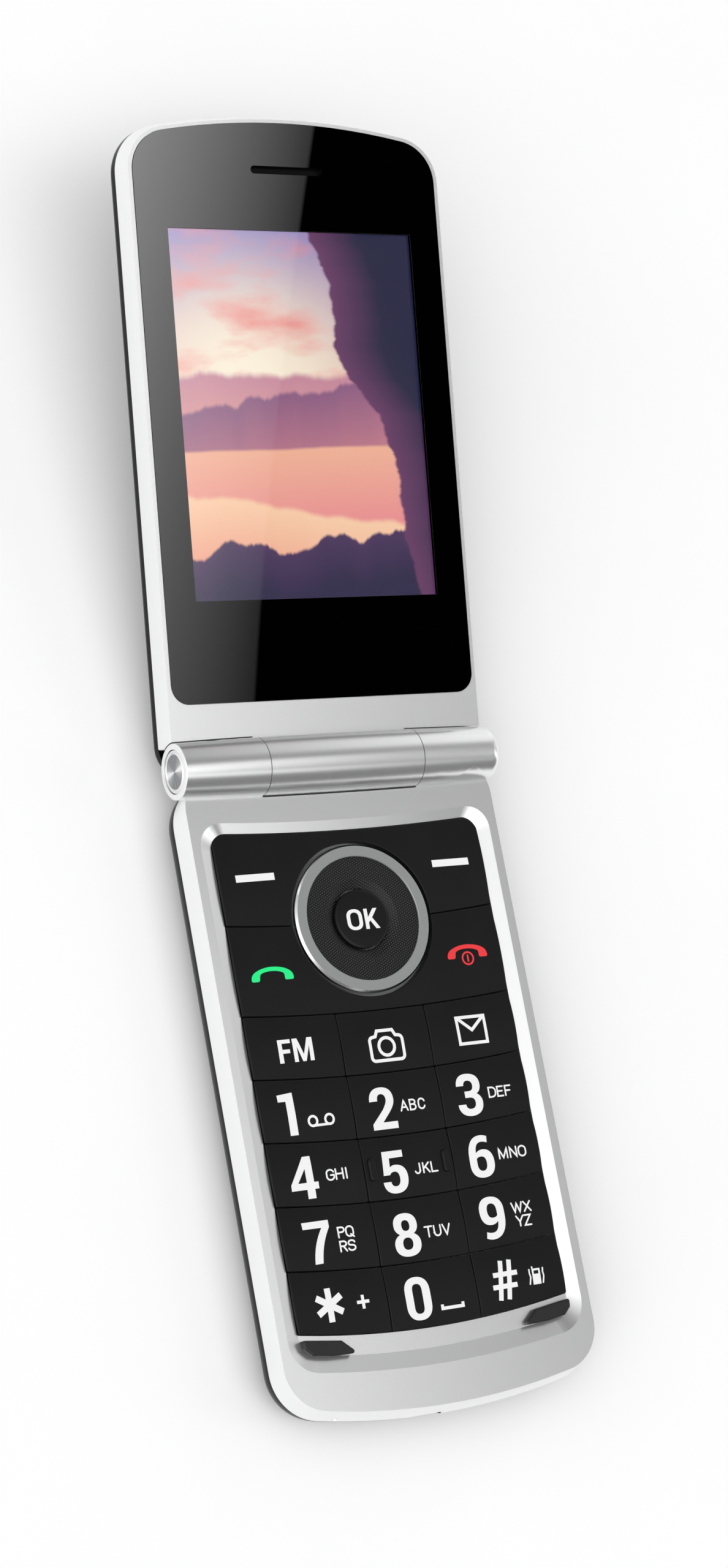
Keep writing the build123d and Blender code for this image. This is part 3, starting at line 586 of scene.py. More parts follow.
# %% [markdown]
# ## Signs drawn as outlines
# The bold digits have flat ends and round bowls, as in a typeface, so each is drawn as one: an outline of
# straight sides (L) and curved sides (C, with two handles and an end). The numbers are hundredths of the
# sign's box, counted from its lower left corner. An outline inside another becomes a hole. A flat curve
# object fills such outlines, and once it is a mesh, cuts across it every half millimetre let it bend.

# %% Read an outline
CURVE_STEPS = 8


def outline(path):
    """Turns 'M 0 0 L 10 0 C ...' into a list of points."""
    words = path.split()
    points = []
    while words:
        kind = words.pop(0)
        count = 3 if kind == "C" else 1
        spots = [Vector((float(words.pop(0)), float(words.pop(0)))) for _ in range(count)]
        if kind == "C":
            a, b, c, d = points[-1], *spots
            for i in range(1, CURVE_STEPS + 1):
                t = i / CURVE_STEPS
                u = 1 - t
                points.append(a * u ** 3 + b * 3 * u * u * t + c * 3 * u * t * t + d * t ** 3)
        else:
            points += spots
    return points


print("curves read in", CURVE_STEPS, "steps")

# %% Fill outlines and lay them on a key
CUT_EVERY_MM = 0.5


def filled(outlines, part, lift_mm=0.015):
    """Outlines given as base places (x, s) in millimetres, filled and laid on a part."""
    bpy.ops.object.select_all(action="DESELECT")
    bpy.ops.curve.primitive_bezier_curve_add(location=(0, 0, 0))
    curve = bpy.context.object.data
    curve.splines.clear()
    curve.dimensions = "2D"
    curve.fill_mode = "BOTH"
    for points in outlines:
        spline = curve.splines.new("POLY")
        spline.points.add(len(points) - 1)
        for point, (x, s) in zip(spline.points, points):
            point.co = (x, -s, 0.0, 1.0)
        spline.use_cyclic_u = True
    bpy.ops.object.convert(target="MESH")
    sign = bpy.context.object
    ends = [-s for points in outlines for x, s in points]
    bpy.ops.object.mode_set(mode="EDIT")
    bpy.ops.mesh.select_all(action="SELECT")
    bpy.ops.mesh.remove_doubles(threshold=1e-4)
    cut = min(ends) + CUT_EVERY_MM / 2
    while cut < max(ends):
        bpy.ops.mesh.select_all(action="SELECT")
        bpy.ops.mesh.bisect(plane_co=(0, cut, 0), plane_no=(0, 1, 0))
        cut += CUT_EVERY_MM
    bpy.ops.mesh.select_all(action="SELECT")
    bpy.ops.mesh.normals_make_consistent(inside=False)
    bpy.ops.object.mode_set(mode="OBJECT")
    if sum(face.normal.z for face in sign.data.polygons) < 0:
        sign.data.flip_normals()
    for vertex in sign.data.vertices:
        vertex.co = base_place(vertex.co.x, -vertex.co.y, 1.0)
    lay_on(sign, part, lift_mm)
    return sign


print("filled signs cut every", CUT_EVERY_MM, "mm")

# %% [markdown]
# ## The digits
# These are the ten digits of a narrow bold face. The 9 is the 6 turned round, so it isn't drawn again.

# %% Outlines of the digits
SIX_OUTER = ("M 85 95.5 C 76 98 68 99.5 58 99.5 C 20 99.5 -1 80 -1 48 L -1 32 C -1 10 18 -1.3 49 -1.3 "
             "C 80 -1.3 99 10 99 32 C 99 54 84 65.4 59 65.4 C 46 65.4 36 62.5 29.5 57.5 C 30 75 40 "
             "83.7 59 83.7 "
             "C 67 83.7 74 82.5 81.5 80.5")
SIX_INNER = ("M 28.5 44 C 33 47.5 40 49 48 49 C 61 49 67.5 43 67.5 32 C 67.5 21 61 15 49 15 "
             "C 35 15 28.5 21 28.5 33")
DIGITS = {
    "0": ["M 0 34 L 0 66 C 0 88 18 99.7 49 99.7 C 80 99.7 98 88 98 66 L 98 34 C 98 12 80 -0.5 49 -0.5 "
          "C 18 -0.5 0 12 0 34",
          "M 30 30 L 30 68 C 30 79 36 83.5 48.5 83.5 C 61 83.5 67 79 67 68 L 67 30 C 67 19 61 14.5 "
          "48.5 14.5 "
          "C 36 14.5 30 19 30 30"],
    "1": ["M -5 96.5 L 92 100 L 92 -1 L 42 -1 L 43 80 L -4 80"],
    "2": ["M -1.5 67 L 30 67 C 30 78 36.5 83.3 46.5 83.3 C 57.5 83.3 63.8 78.5 63.8 70 C 63.8 62 56 "
          "55 46 45.5 "
          "L 0 13.5 L 0 -0.5 L 97.5 -0.5 L 97.5 16 L 40.5 16 L 68 36 C 85 49 94 58 94 70 C 94 90 77 "
          "99.5 47.5 99.5 "
          "C 17 99.5 -0.5 87 -1.5 67"],
    "3": ["M 0 71.5 C 1 90 19 100 46 100 C 79 100 97 91 97 73 C 97 62 90 54 78 50.5 C 92 46 99 38 99 28 "
          "C 99 9 79 -1.5 47 -1.5 C 17 -1.5 -2 9 -3 27 L 28.5 27 C 29 19.5 36 15.3 47 15.3 C 61 "
          "15.3 69 20 69 29 "
          "C 69 38 62 42.3 47 42.3 L 30 42.3 L 30 57.7 L 46 57.7 C 60 57.7 66.5 62 66.5 71 C 66.5 "
          "79 59.5 83.3 "
          "47 83.3 C 37 83.3 30.5 79 30 71.5"],
    "4": ["M 55 99 L 82.5 99 L 82.5 36.5 L 98 36.5 L 97.5 20 L 82.5 20 L 82.5 -2 L 54 -2 L 54 20 L -1.5 20 "
          "L -1 34", "M 56 70 L 56 36.5 L 25 36.5"],
    "5": ["M 10 98.5 L 92 98.5 L 91 82 L 35 81.5 L 32.5 60 C 38 63 45 64.8 54 64.8 C 82 64.8 99.5 "
          "54 99.5 33 "
          "C 99.5 10 80 -2.6 47 -2.6 C 17 -2.6 -1 8 -2 26 L 29 26 C 30 18 36 14.3 47 14.3 C 60 14.3 "
          "66.5 21 66.5 32 "
          "C 66.5 43 60 49 48 49 C 39 49 32 46.5 28.7 42 L 3 42"],
    "6": [SIX_OUTER, SIX_INNER],
    "7": ["M -1 99.5 L 98 99.5 L 98 82.5 C 79 62 61 38 56 -1.5 L 26.5 -2 C 29 30 42 55 69 82.5 L 0 83"],
    "8": ["M 23 50.5 C 10 55 3.5 62 3.5 72.5 C 3.5 89.5 20 99.5 48.5 99.5 C 77 99.5 93 89.5 93 72.5 "
          "C 93 62 87 55 75 50.5 C 90 46 98 38 98 27 C 98 8.5 79 -1.6 48.5 -1.6 C 18 -1.6 -1.5 8.5 -1.5 27 "
          "C -1.5 38 7 46 23 50.5",
          "M 33.5 70.5 C 33.5 79 39 83 48.6 83 C 58 83 63.8 79 63.8 70.5 C 63.8 62 58 58 48.6 58 "
          "C 39 58 33.5 62 33.5 70.5",
          "M 29 28.2 C 29 37 36 42.4 48.2 42.4 C 60 42.4 67.4 37 67.4 28.2 C 67.4 19 60 14.1 48.2 14.1 "
          "C 36 14.1 29 19 29 28.2"],
}
print(len(DIGITS) + 1, "digits drawn")

# %% [markdown]
# ## Lines drawn with a pen
# Thin letters and icons have one line width all over, so they are drawn as lines with a round pen. A
# stroke starts as a plain grid of quads, one cell wide and many cells long. Its two long sides are then
# laid along the line, half a pen width to each side, a little more at corners so that the line keeps its
# width. Where a line ends, the last cells narrow in a half circle, as a round pen leaves them.

# %% Points for the pen
def arc(cx, cy, rx, ry, start, end):
    """Points on an ellipse from one angle to another, in degrees."""
    steps = max(4, round(abs(end - start) / 12))
    angles = [math.radians(start + (end - start) * i / steps) for i in range(steps + 1)]
    return [(cx + rx * math.cos(a), cy + ry * math.sin(a)) for a in angles]


def resampled(points, step):
    """The same line with extra points, so that no piece is longer than a step."""
    made = [points[0]]
    for (ax, ay), (bx, by) in zip(points, points[1:]):
        pieces = max(1, math.ceil(math.hypot(bx - ax, by - ay) / step - 1e-6))
        for i in range(1, pieces + 1):
            made.append((ax + (bx - ax) * i / pieces, ay + (by - ay) * i / pieces))
    return made


def pen_sides(points, widths):
    """For each point, the two places half a pen width to its left and right, with mitred corners."""
    closed = math.dist(points[0], points[-1]) < 1e-6
    count = len(points)
    sides = []
    for i, (x, y) in enumerate(points):
        before = points[i - 1] if i > 0 else (points[-2] if closed else None)
        after = points[i + 1] if i < count - 1 else (points[1] if closed else None)
        runs = []
        if before is not None:
            runs.append(Vector((x - before[0], y - before[1])).normalized())
        if after is not None:
            runs.append(Vector((after[0] - x, after[1] - y)).normalized())
        along = sum(runs, Vector((0, 0))).normalized()
        left = Vector((-along.y, along.x))
        half = widths[i] / 2 / max(0.5, along.dot(runs[0]))
        sides.append((Vector((x, y)) + left * half, Vector((x, y)) - left * half))
    return sides


print("arc, resampled and pen_sides ready")

# %% Round ends
ROUND_STEPS = (0, 25, 50, 70, 90)


def round_ended(points, pen):
    """Points and widths of an open line whose two ends narrow in half circles outside its end points."""
    widths = [pen] * len(points)
    for end in (0, -1):
        tip = Vector(points[end])
        inner = Vector(points[1 if end == 0 else -2])
        out = (tip - inner).normalized()
        cap = []
        for angle in ROUND_STEPS[1:]:
            a = math.radians(angle)
            spot = tip + out * (pen / 2 * math.sin(a))
            cap.append((tuple(spot), pen * math.cos(a)))
        if end == 0:
            cap.reverse()
            points = [c[0] for c in cap] + points
            widths = [c[1] for c in cap] + widths
        else:
            points = points + [c[0] for c in cap]
            widths = widths + [c[1] for c in cap]
    return points, widths


print("round ends in", ROUND_STEPS, "steps")

# %% One pen stroke as a strip of quads
LINE_STEP_MM = 0.4


def pen_stroke(line, pen, part, lift_mm, rounded=True):
    """Lays a strip of quads along a line of places (x, -s) in millimetres, and drops it on a part."""
    points = resampled(line, LINE_STEP_MM)
    widths = [pen] * len(points)
    if rounded and math.dist(points[0], points[-1]) > 1e-6:
        points, widths = round_ended(points, pen)
    sides = pen_sides(points, widths)
    cells = len(points) - 1
    bpy.ops.object.select_all(action="DESELECT")
    bpy.ops.mesh.primitive_grid_add(x_subdivisions=cells, y_subdivisions=1, size=1.0, location=(0, 0, 0))
    strip = bpy.context.object
    for vertex in strip.data.vertices:
        step = round((vertex.co.x + 0.5) * cells)
        left, right = sides[step]
        spot = left if vertex.co.y > 0 else right
        vertex.co = base_place(spot.x, -spot.y, 1.0)
    bpy.ops.object.mode_set(mode="EDIT")
    bpy.ops.mesh.select_all(action="SELECT")
    bpy.ops.mesh.remove_doubles(threshold=1e-7)
    bpy.ops.object.mode_set(mode="OBJECT")
    lay_on(strip, part, lift_mm)
    return strip


PEN_LIFT_MM = 0.013
NEXT_LIFT_MM = 0.0015


def pen_lines(lines, pen, part, rounded=True, lift_mm=PEN_LIFT_MM):
    """Several lines printed on one part, each a hair above the last so that they don't flicker."""
    return [pen_stroke(line, pen, part, lift_mm + NEXT_LIFT_MM * number, rounded)
            for number, line in enumerate(lines)]


print("pen strokes in steps of", LINE_STEP_MM, "mm")

# %% [markdown]
# ## Small letters
# The letter groups beside the digits are drawn with the round pen. Each capital is a list of lines in a
# box one unit wide and one unit high, and is stretched to its place. That is less work than it looks,
# because most capitals are two or three straight lines, and the rest are arcs.

# %% Capitals as pen lines
ROUND_O = arc(0.5, 0.64, 0.5, 0.36, 0, 180) + arc(0.5, 0.36, 0.5, 0.36, 180, 360) + [(1.0, 0.64)]
BOWL = arc(0.56, 0.755, 0.44, 0.245, 90, -90)
CAPITALS = {
    "A": [[(0, 0), (0.5, 1), (1, 0)], [(0.19, 0.33), (0.81, 0.33)]],
    "B": [[(0, 0.54), (0, 1)] + arc(0.52, 0.77, 0.42, 0.23, 90, -90) + [(0, 0.54), (0, 0)]
          + arc(0.54, 0.27, 0.46, 0.27, -90, 90)],
    "C": [arc(0.5, 0.66, 0.5, 0.34, 15, 180) + arc(0.5, 0.34, 0.5, 0.34, 180, 345)],
    "D": [[(0, 0), (0, 1)] + arc(0.42, 0.62, 0.58, 0.38, 90, 0) + arc(0.42, 0.38, 0.58, 0.38, 0, -90)
          + [(0, 0)]],
    "E": [[(1, 1), (0, 1), (0, 0), (1, 0)], [(0, 0.52), (0.86, 0.52)]],
    "F": [[(1, 1), (0, 1), (0, 0)], [(0, 0.5), (0.84, 0.5)]],
    "G": [arc(0.5, 0.66, 0.5, 0.34, 20, 180) + arc(0.5, 0.34, 0.5, 0.34, 180, 320) + [(1, 0.2), (1, 0.47),
                                                                                    (0.56, 0.47)]],
    "H": [[(0, 0), (0, 1)], [(1, 0), (1, 1)], [(0, 0.52), (1, 0.52)]],
    "I": [[(0.5, 0), (0.5, 1)]],
    "J": [[(1, 1), (1, 0.3)] + arc(0.5, 0.3, 0.5, 0.3, 0, -165)],
    "K": [[(0, 0), (0, 1)], [(0.95, 1), (0.02, 0.4)], [(0.36, 0.6), (1, 0)]],
    "L": [[(0, 1), (0, 0), (1, 0)]],
    "M": [[(0, 0), (0, 1), (0.5, 0.06), (1, 1), (1, 0)]],
    "N": [[(0, 0), (0, 1), (1, 0), (1, 1)]],
    "O": [ROUND_O],
    "P": [[(0, 0), (0, 1)] + BOWL + [(0, 0.51)]],
    "Q": [ROUND_O, [(0.62, 0.2), (1.02, -0.07)]],
    "R": [[(0, 0), (0, 1)] + BOWL + [(0, 0.51)], [(0.5, 0.5), (1, 0)]],
    "S": [arc(0.5, 0.755, 0.46, 0.245, 12, 235) + arc(0.5, 0.265, 0.5, 0.265, 62, -168)],
    "T": [[(0, 1), (1, 1)], [(0.5, 1), (0.5, 0)]],
    "U": [[(0, 1), (0, 0.36)] + arc(0.5, 0.36, 0.5, 0.36, 180, 360) + [(1, 1)]],
    "V": [[(0, 1), (0.5, 0), (1, 1)]],
    "W": [[(0, 1), (0.26, 0), (0.5, 0.95), (0.74, 0), (1, 1)]],
    "X": [[(0, 1), (1, 0)], [(0, 0), (1, 1)]],
    "Y": [[(0, 1), (0.5, 0.42), (1, 1)], [(0.5, 0.42), (0.5, 0)]],
    "Z": [[(0, 1), (1, 1), (0, 0), (1, 0)]],
}
LETTER_PEN = 0.26


def letters(word, spans, s0, s1, part):
    """A group of capitals; spans gives the middle lines of each one's left and right side."""
    lines = []
    for letter, (x0, x1) in zip(word, spans):
        for line in CAPITALS[letter]:
            lines.append([(x0 + u * (x1 - x0), -(s1 - v * (s1 - s0))) for u, v in line])
    return pen_lines(lines, LETTER_PEN, part)


print(len(CAPITALS), "capitals drawn")

# %% [markdown]
# ## Digit keys
# Now the digits are set where they stand on their keys, each with its letters. Every box is in
# millimetres across and down the base.

# %% Digits with their letters
DIGIT_KEYS = [
    ("key_1", "1", (-20.20, -17.50, 50.40, 56.80), []),
    ("key_2", "2", (-4.80, -0.35, 51.15, 57.60),
     [("ABC", ((0.45, 1.62), (2.10, 3.08), (3.62, 4.68)), 53.62, 55.14)]),
    ("key_3", "3", (10.77, 15.15, 50.65, 57.15),
     [("DEF", ((16.42, 17.62), (18.00, 18.98), (19.42, 20.38)), 53.22, 54.70)]),
    ("key_4", "4", (-20.50, -15.80, 60.10, 66.40),
     [("GHI", ((-14.33, -13.10), (-12.74, -11.55), (-11.0, -10.9)), 62.62, 64.14)]),
    ("key_5", "5", (-4.80, -0.46, 60.90, 67.30),
     [("JKL", ((0.93, 1.78), (2.38, 3.42), (3.84, 4.82)), 63.42, 64.88)]),
    ("key_6", "6", (10.77, 15.15, 60.30, 66.80),
     [("MNO", ((16.16, 17.60), (18.16, 19.30), (19.72, 20.98)), 62.78, 64.32)]),
    ("key_7", "7", (-19.96, -15.40, 69.90, 76.15),
     [("PQ", ((-14.14, -13.10), (-12.80, -11.58)), 71.32, 72.80),
      ("RS", ((-14.16, -13.12), (-12.78, -11.62)), 73.42, 74.90)]),
    ("key_8", "8", (-4.80, -0.23, 70.50, 77.00),
     [("TUV", ((0.62, 1.86), (2.24, 3.36), (3.78, 5.00)), 73.06, 74.58)]),
    ("key_9", "9", (10.77, 15.15, 69.85, 76.35),
     [("WX", ((16.58, 18.40), (18.74, 19.92)), 71.34, 72.82),
      ("YZ", ((17.02, 18.22), (18.46, 19.58)), 73.42, 74.94)]),
    ("key_0", "0", (-4.80, -0.35, 80.20, 86.70), []),
]
TURNED_SIX = (97.0, 98.5)    # where the 6's corner goes when it is turned round into a 9


def digit(sign, box):
    paths = DIGITS["6" if sign == "9" else sign]
    made = []
    for path in paths:
        points = outline(path)
        if sign == "9":
            points = [Vector(TURNED_SIX) - p for p in points]
        x0, x1, s0, s1 = box
        made.append([(x0 + p.x / 100 * (x1 - x0), s1 - p.y / 100 * (s1 - s0)) for p in points])
    return made


legends = {}
for part, sign, box, groups in DIGIT_KEYS:
    legends[part] = [filled(digit(sign, box), part)]
    for word, spans, s0, s1 in groups:
        legends[part] += letters(word, spans, s0, s1, part)
print("digits laid on", len(legends), "keys")

# %% [markdown]
# ## Small icons
# The 1 has a voicemail sign of two reels, the 0 a space sign and the hash a phone that shakes. Star, plus
# and hash are straight bars with flat ends.

# %% Voicemail, space, star, plus, hash and vibration signs
ICON_PEN = 0.5
reels = [arc(-14.97, -55.05, 0.72, 0.74, 0, 360), arc(-12.12, -55.03, 0.72, 0.74, 0, 360),
         [(-14.97, -55.74), (-12.12, -55.74)]]
legends["key_1"] += pen_lines(reels, 0.37, "key_1")
space = [(1.28, -84.9), (1.28, -85.5), (4.9, -85.5), (4.9, -84.9)]
legends["key_0"] += pen_lines([space], ICON_PEN, "key_0", rounded=False)
STAR_X, STAR_S = -17.70, 82.42
star = [[(STAR_X, -79.93), (STAR_X, -84.96)]]
star += [[(STAR_X - 2.1, -STAR_S + turn * 1.24), (STAR_X + 2.1, -STAR_S - turn * 1.24)] for turn in (-1, 1)]
legends["star_key"] = pen_lines(star, 1.0, "star_key", rounded=False)
plus = [[(-12.05, -81.65), (-12.05, -83.7)], [(-13.1, -82.67), (-11.0, -82.67)]]
legends["star_key"] += pen_lines(plus, ICON_PEN, "star_key", rounded=False)
bars = [[(12.72, -79.74), (11.70, -85.72)], [(14.26, -79.74), (13.22, -85.72)]]
legends["hash_key"] = pen_lines(bars, 0.79, "hash_key", rounded=False)
bars = [[(10.98, -81.83), (15.32, -81.80)], [(10.64, -83.68), (15.02, -83.64)]]
legends["hash_key"] += pen_lines(bars, 0.75, "hash_key", rounded=False, lift_mm=0.017)
shaking_phone = ["M 17.98 81.68 L 19.42 81.68 L 19.32 84.1 L 17.88 84.1", "M 18.28 81.98 L 19.12 81.98 "
                 "L 19.09 82.5 L 18.25 82.5"]
legends["hash_key"].append(filled([outline(path) for path in shaking_phone], "hash_key"))
aerial_and_shakes = [[(18.08, -81.4), (18.08, -81.7)],
                     [(17.50, -81.75), (17.46, -82.3), (17.58, -82.9), (17.3, -83.95)],
                     [(19.97, -81.75), (19.86, -82.3), (19.95, -82.9), (19.68, -83.95)]]
legends["hash_key"] += pen_lines(aerial_and_shakes, 0.25, "hash_key")

for part, pieces in legends.items():
    finish_print("legend_" + part, pieces, WHITE_INK, part)
print(len(legends), "digit keys printed")

# %% [markdown]
# ## Function keys
# Above the digits are the radio key, the camera key and the message key, and round the navigation key
# lie two soft keys, the green call key and the red end key. Bold letters and handsets are filled
# outlines, given here straight in millimetres on the base. The camera and the envelope are pen lines.

# %% Radio, camera and message signs
FM = ["M -18.66 42.35 L -16.5 42.35 L -16.5 42.95 L -17.98 42.95 L -17.98 43.88 L -16.72 43.88 L "
      "-16.74 44.48 "
      "L -17.98 44.48 L -17.98 45.92 L -18.7 45.92",
      "M -16.16 42.35 L -15.3 42.35 L -14.46 44.86 L -13.6 42.35 L -12.74 42.35 L -12.78 45.92 L "
      "-13.46 45.92 "
      "L -13.4 43.55 L -14.18 45.92 L -14.76 45.92 L -15.5 43.55 L -15.48 45.92 L -16.16 45.92"]
finish_print("legend_fm_key", [filled([outline(path) for path in FM], "fm_key")], WHITE_INK, "fm_key")

camera_body = arc(2.25, -44.10, 0.62, 0.62, 0, 90)[:-1] + [(2.25, -43.48), (1.75, -43.40), (1.35, -42.56),
    (-1.35, -42.56), (-1.75, -43.40), (-2.25, -43.48)] + arc(-2.25, -44.10, 0.62, 0.62, 90, 180)[1:]
camera_body += arc(-2.25, -46.55, 0.62, 0.62, 180, 270) + arc(2.25, -46.55, 0.62, 0.62, 270, 360)
camera_body += [camera_body[0]]
camera_eye = arc(-0.04, -45.06, 1.36, 1.36, 0, 360)
finish_print("legend_camera_key", pen_lines([camera_body, camera_eye], ICON_PEN, "camera_key"),
             WHITE_INK, "camera_key")

envelope = [(13.04, -41.88), (18.04, -41.88), (18.02, -46.0), (13.08, -46.0), (13.04, -41.88)]
flap = [(13.25, -42.0), (15.55, -43.95), (17.85, -42.0)]
finish_print("legend_message_key", pen_lines([envelope, flap], ICON_PEN, "message_key"),
             WHITE_INK, "message_key")
print("radio, camera and message signs printed")

# %% OK and the soft key bars
OK = ["M -2.76 24.5 C -2.76 23.72 -2.2 23.32 -1.4 23.32 C -0.6 23.32 -0.05 23.72 -0.05 24.5 L -0.05 25.45 "
      "C -0.05 26.25 -0.6 26.63 -1.4 26.63 C -2.2 26.63 -2.76 26.25 -2.76 25.45",
      "M -2.14 24.6 L -2.14 25.38 C -2.14 25.88 -1.88 26.12 -1.4 26.12 C -0.92 26.12 -0.67 25.88 "
      "-0.67 25.38 "
      "L -0.67 24.6 C -0.67 24.1 -0.92 23.85 -1.4 23.85 C -1.88 23.85 -2.14 24.1 -2.14 24.6",
      "M 0.36 23.4 L 0.99 23.4 L 0.99 24.76 L 2.03 23.4 L 2.79 23.4 L 1.7 24.84 L 2.9 26.6 L 2.16 "
      "26.6 L 1.27 25.28 "
      "L 0.99 25.64 L 0.99 26.6 L 0.36 26.6"]
finish_print("legend_ok_key", [filled([outline(path) for path in OK], "ok_key")], WHITE_INK, "ok_key")

BAR_X, BAR_S = 17.4, 17.2
BAR_HALF_LENGTH = 3.33
BAR_PEN = 1.13
for side, word in ((-1, "left"), (1, "right")):
    bar = [(side * BAR_X - BAR_HALF_LENGTH, -BAR_S), (side * BAR_X + BAR_HALF_LENGTH, -BAR_S)]
    finish_print("bar_soft_key_" + word, pen_lines([bar], BAR_PEN, "softkey_plate", rounded=False),
                 WHITE_INK, "softkey_plate")
print("OK and two bars printed")

# %% Call and end signs
HANDSET = ("M -17.45 31.1 C -15.9 31.1 -14.6 31.5 -14.1 32.1 C -13.85 32.45 -13.8 32.85 -13.85 33.05 "
           "C -13.9 33.2 -14.0 33.25 -14.2 33.25 L -15.05 33.25 C -15.3 33.25 -15.35 33.1 -15.35 "
           "32.9 L -15.35 32.5 "
           "C -15.35 32.35 -15.4 32.22 -15.6 32.1 C -16.1 31.85 -16.8 31.75 -17.45 31.75 "
           "C -18.1 31.75 -18.9 31.85 -19.3 32.1 C -19.48 32.22 -19.52 32.35 -19.55 32.5 L -19.62 32.9 "
           "C -19.66 33.1 -19.75 33.25 -20.0 33.25 L -20.75 33.25 C -20.95 33.25 -21.05 33.15 -21.05 32.95 "
           "C -21.05 32.5 -20.8 32.1 -20.4 31.85 C -19.6 31.4 -18.6 31.1 -17.45 31.1")
END_SHIFT = Vector((34.75, -0.63))
finish_print("sign_call_key", [filled([outline(HANDSET)], "call_end_plate")], GREEN_INK, "call_end_plate")
end_sign = [filled([[tuple(p + END_SHIFT) for p in outline(HANDSET)]], "call_end_plate")]
end_sign += pen_lines([arc(17.3, -32.68, 0.97, 0.97, 0, 360), [(17.3, -32.22), (17.3, -33.14)]], 0.28,
                      "call_end_plate")
finish_print("sign_end_key", end_sign, RED_INK, "call_end_plate")
print("function legends printed")

# %% [markdown]
# ## The lit picture
# The display shows a wallpaper: a bay at dusk in peach, rose, mauve and navy. It is one flat sheet of
# light under the window, so it is a thin plate with a shader that glows. The hills are layers, each with
# a wavy upper edge from noise, painted one over the other from far to near, as a painter would.

# %% The picture's plate
PICTURE_DEPTH = -1.99
PLATE_MM = 0.02
UNDER_PRINT_MM = 0.5         # how far the plate reaches under the print, on each side
bpy.ops.object.select_all(action="DESELECT")
bpy.ops.mesh.primitive_grid_add(x_subdivisions=12, y_subdivisions=16, size=1.0, location=(0, 0, 0))
picture = bpy.context.object
picture.name = "screen_picture"
picture.data.name = "screen_picture"
for vertex in picture.data.vertices:
    across = vertex.co.x * 2 * (SCREEN_HALF_WIDTH + UNDER_PRINT_MM)
    along = SCREEN_T + vertex.co.y * 2 * (SCREEN_HALF_LENGTH + UNDER_PRINT_MM)
    vertex.co = lid_place(across, along, PICTURE_DEPTH)
plate = picture.modifiers.new("plate", "SOLIDIFY")
plate.thickness = PLATE_MM * MM
plate.offset = -1.0
bpy.ops.object.modifier_apply(modifier=plate.name)
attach(picture, "lid")
print("plate of", len(picture.data.vertices), "points")


# %% The picture's paint
def wavy_edge(tree, x, base, slope, swing, freq, seed):
    """Height of a hill's upper edge above the foot of the picture, as a socket."""
    spot = add(tree, "ShaderNodeCombineXYZ", {"X": x, "Y": seed}).outputs[0]
    noise = add(tree, "ShaderNodeTexNoise",
                {"Vector": spot, "Scale": freq, "Detail": 6.0, "Roughness": 0.55})
    waves = add(tree, "ShaderNodeMath", {0: noise.outputs["Fac"], 1: swing, 2: base - swing / 2},
                operation="MULTIPLY_ADD")
    return add(tree, "ShaderNodeMath", {0: x, 1: slope, 2: waves.outputs[0]},
               operation="MULTIPLY_ADD").outputs[0]


def paint_layer(tree, under, y, edge, soft, top, foot, depth):
    """A hill or shore below its edge, shaded from its top colour to its foot colour."""
    below = add(tree, "ShaderNodeMath", {0: edge, 1: y}, operation="SUBTRACT").outputs[0]
    cover = add(tree, "ShaderNodeMapRange", {"Value": below, "From Min": -soft, "From Max": soft},
                interpolation_type="SMOOTHSTEP").outputs[0]
    shade = add(tree, "ShaderNodeMapRange", {"Value": below, "From Max": depth}).outputs[0]
    paint = add(tree, "ShaderNodeMix", {0: shade, 6: colour(top), 7: colour(foot)},
                data_type="RGBA").outputs[2]
    return add(tree, "ShaderNodeMix", {0: cover, 6: under, 7: paint}, data_type="RGBA").outputs[2]


HILLS = [                    # base, slope, swing, frequency, seed, softness, top, foot, depth
    (0.60, 0.02, 0.16, 2.2, 3.1, 0.012, "#c98aa0", "#e6a49c", 0.16),
    (0.50, 0.13, 0.22, 3.0, 7.4, 0.008, "#8d5c84", "#c47c8c", 0.20),
    (0.40, 0.02, 0.02, 2.0, 1.3, 0.006, "#f6b79a", "#ef8f94", 0.22),
    (0.29, -0.10, 0.10, 2.6, 5.2, 0.010, "#ffd3ae", "#f6a58f", 0.20),
    (0.13, 0.06, 0.16, 4.5, 9.7, 0.006, "#4a2f5c", "#2a2148", 0.12),
]


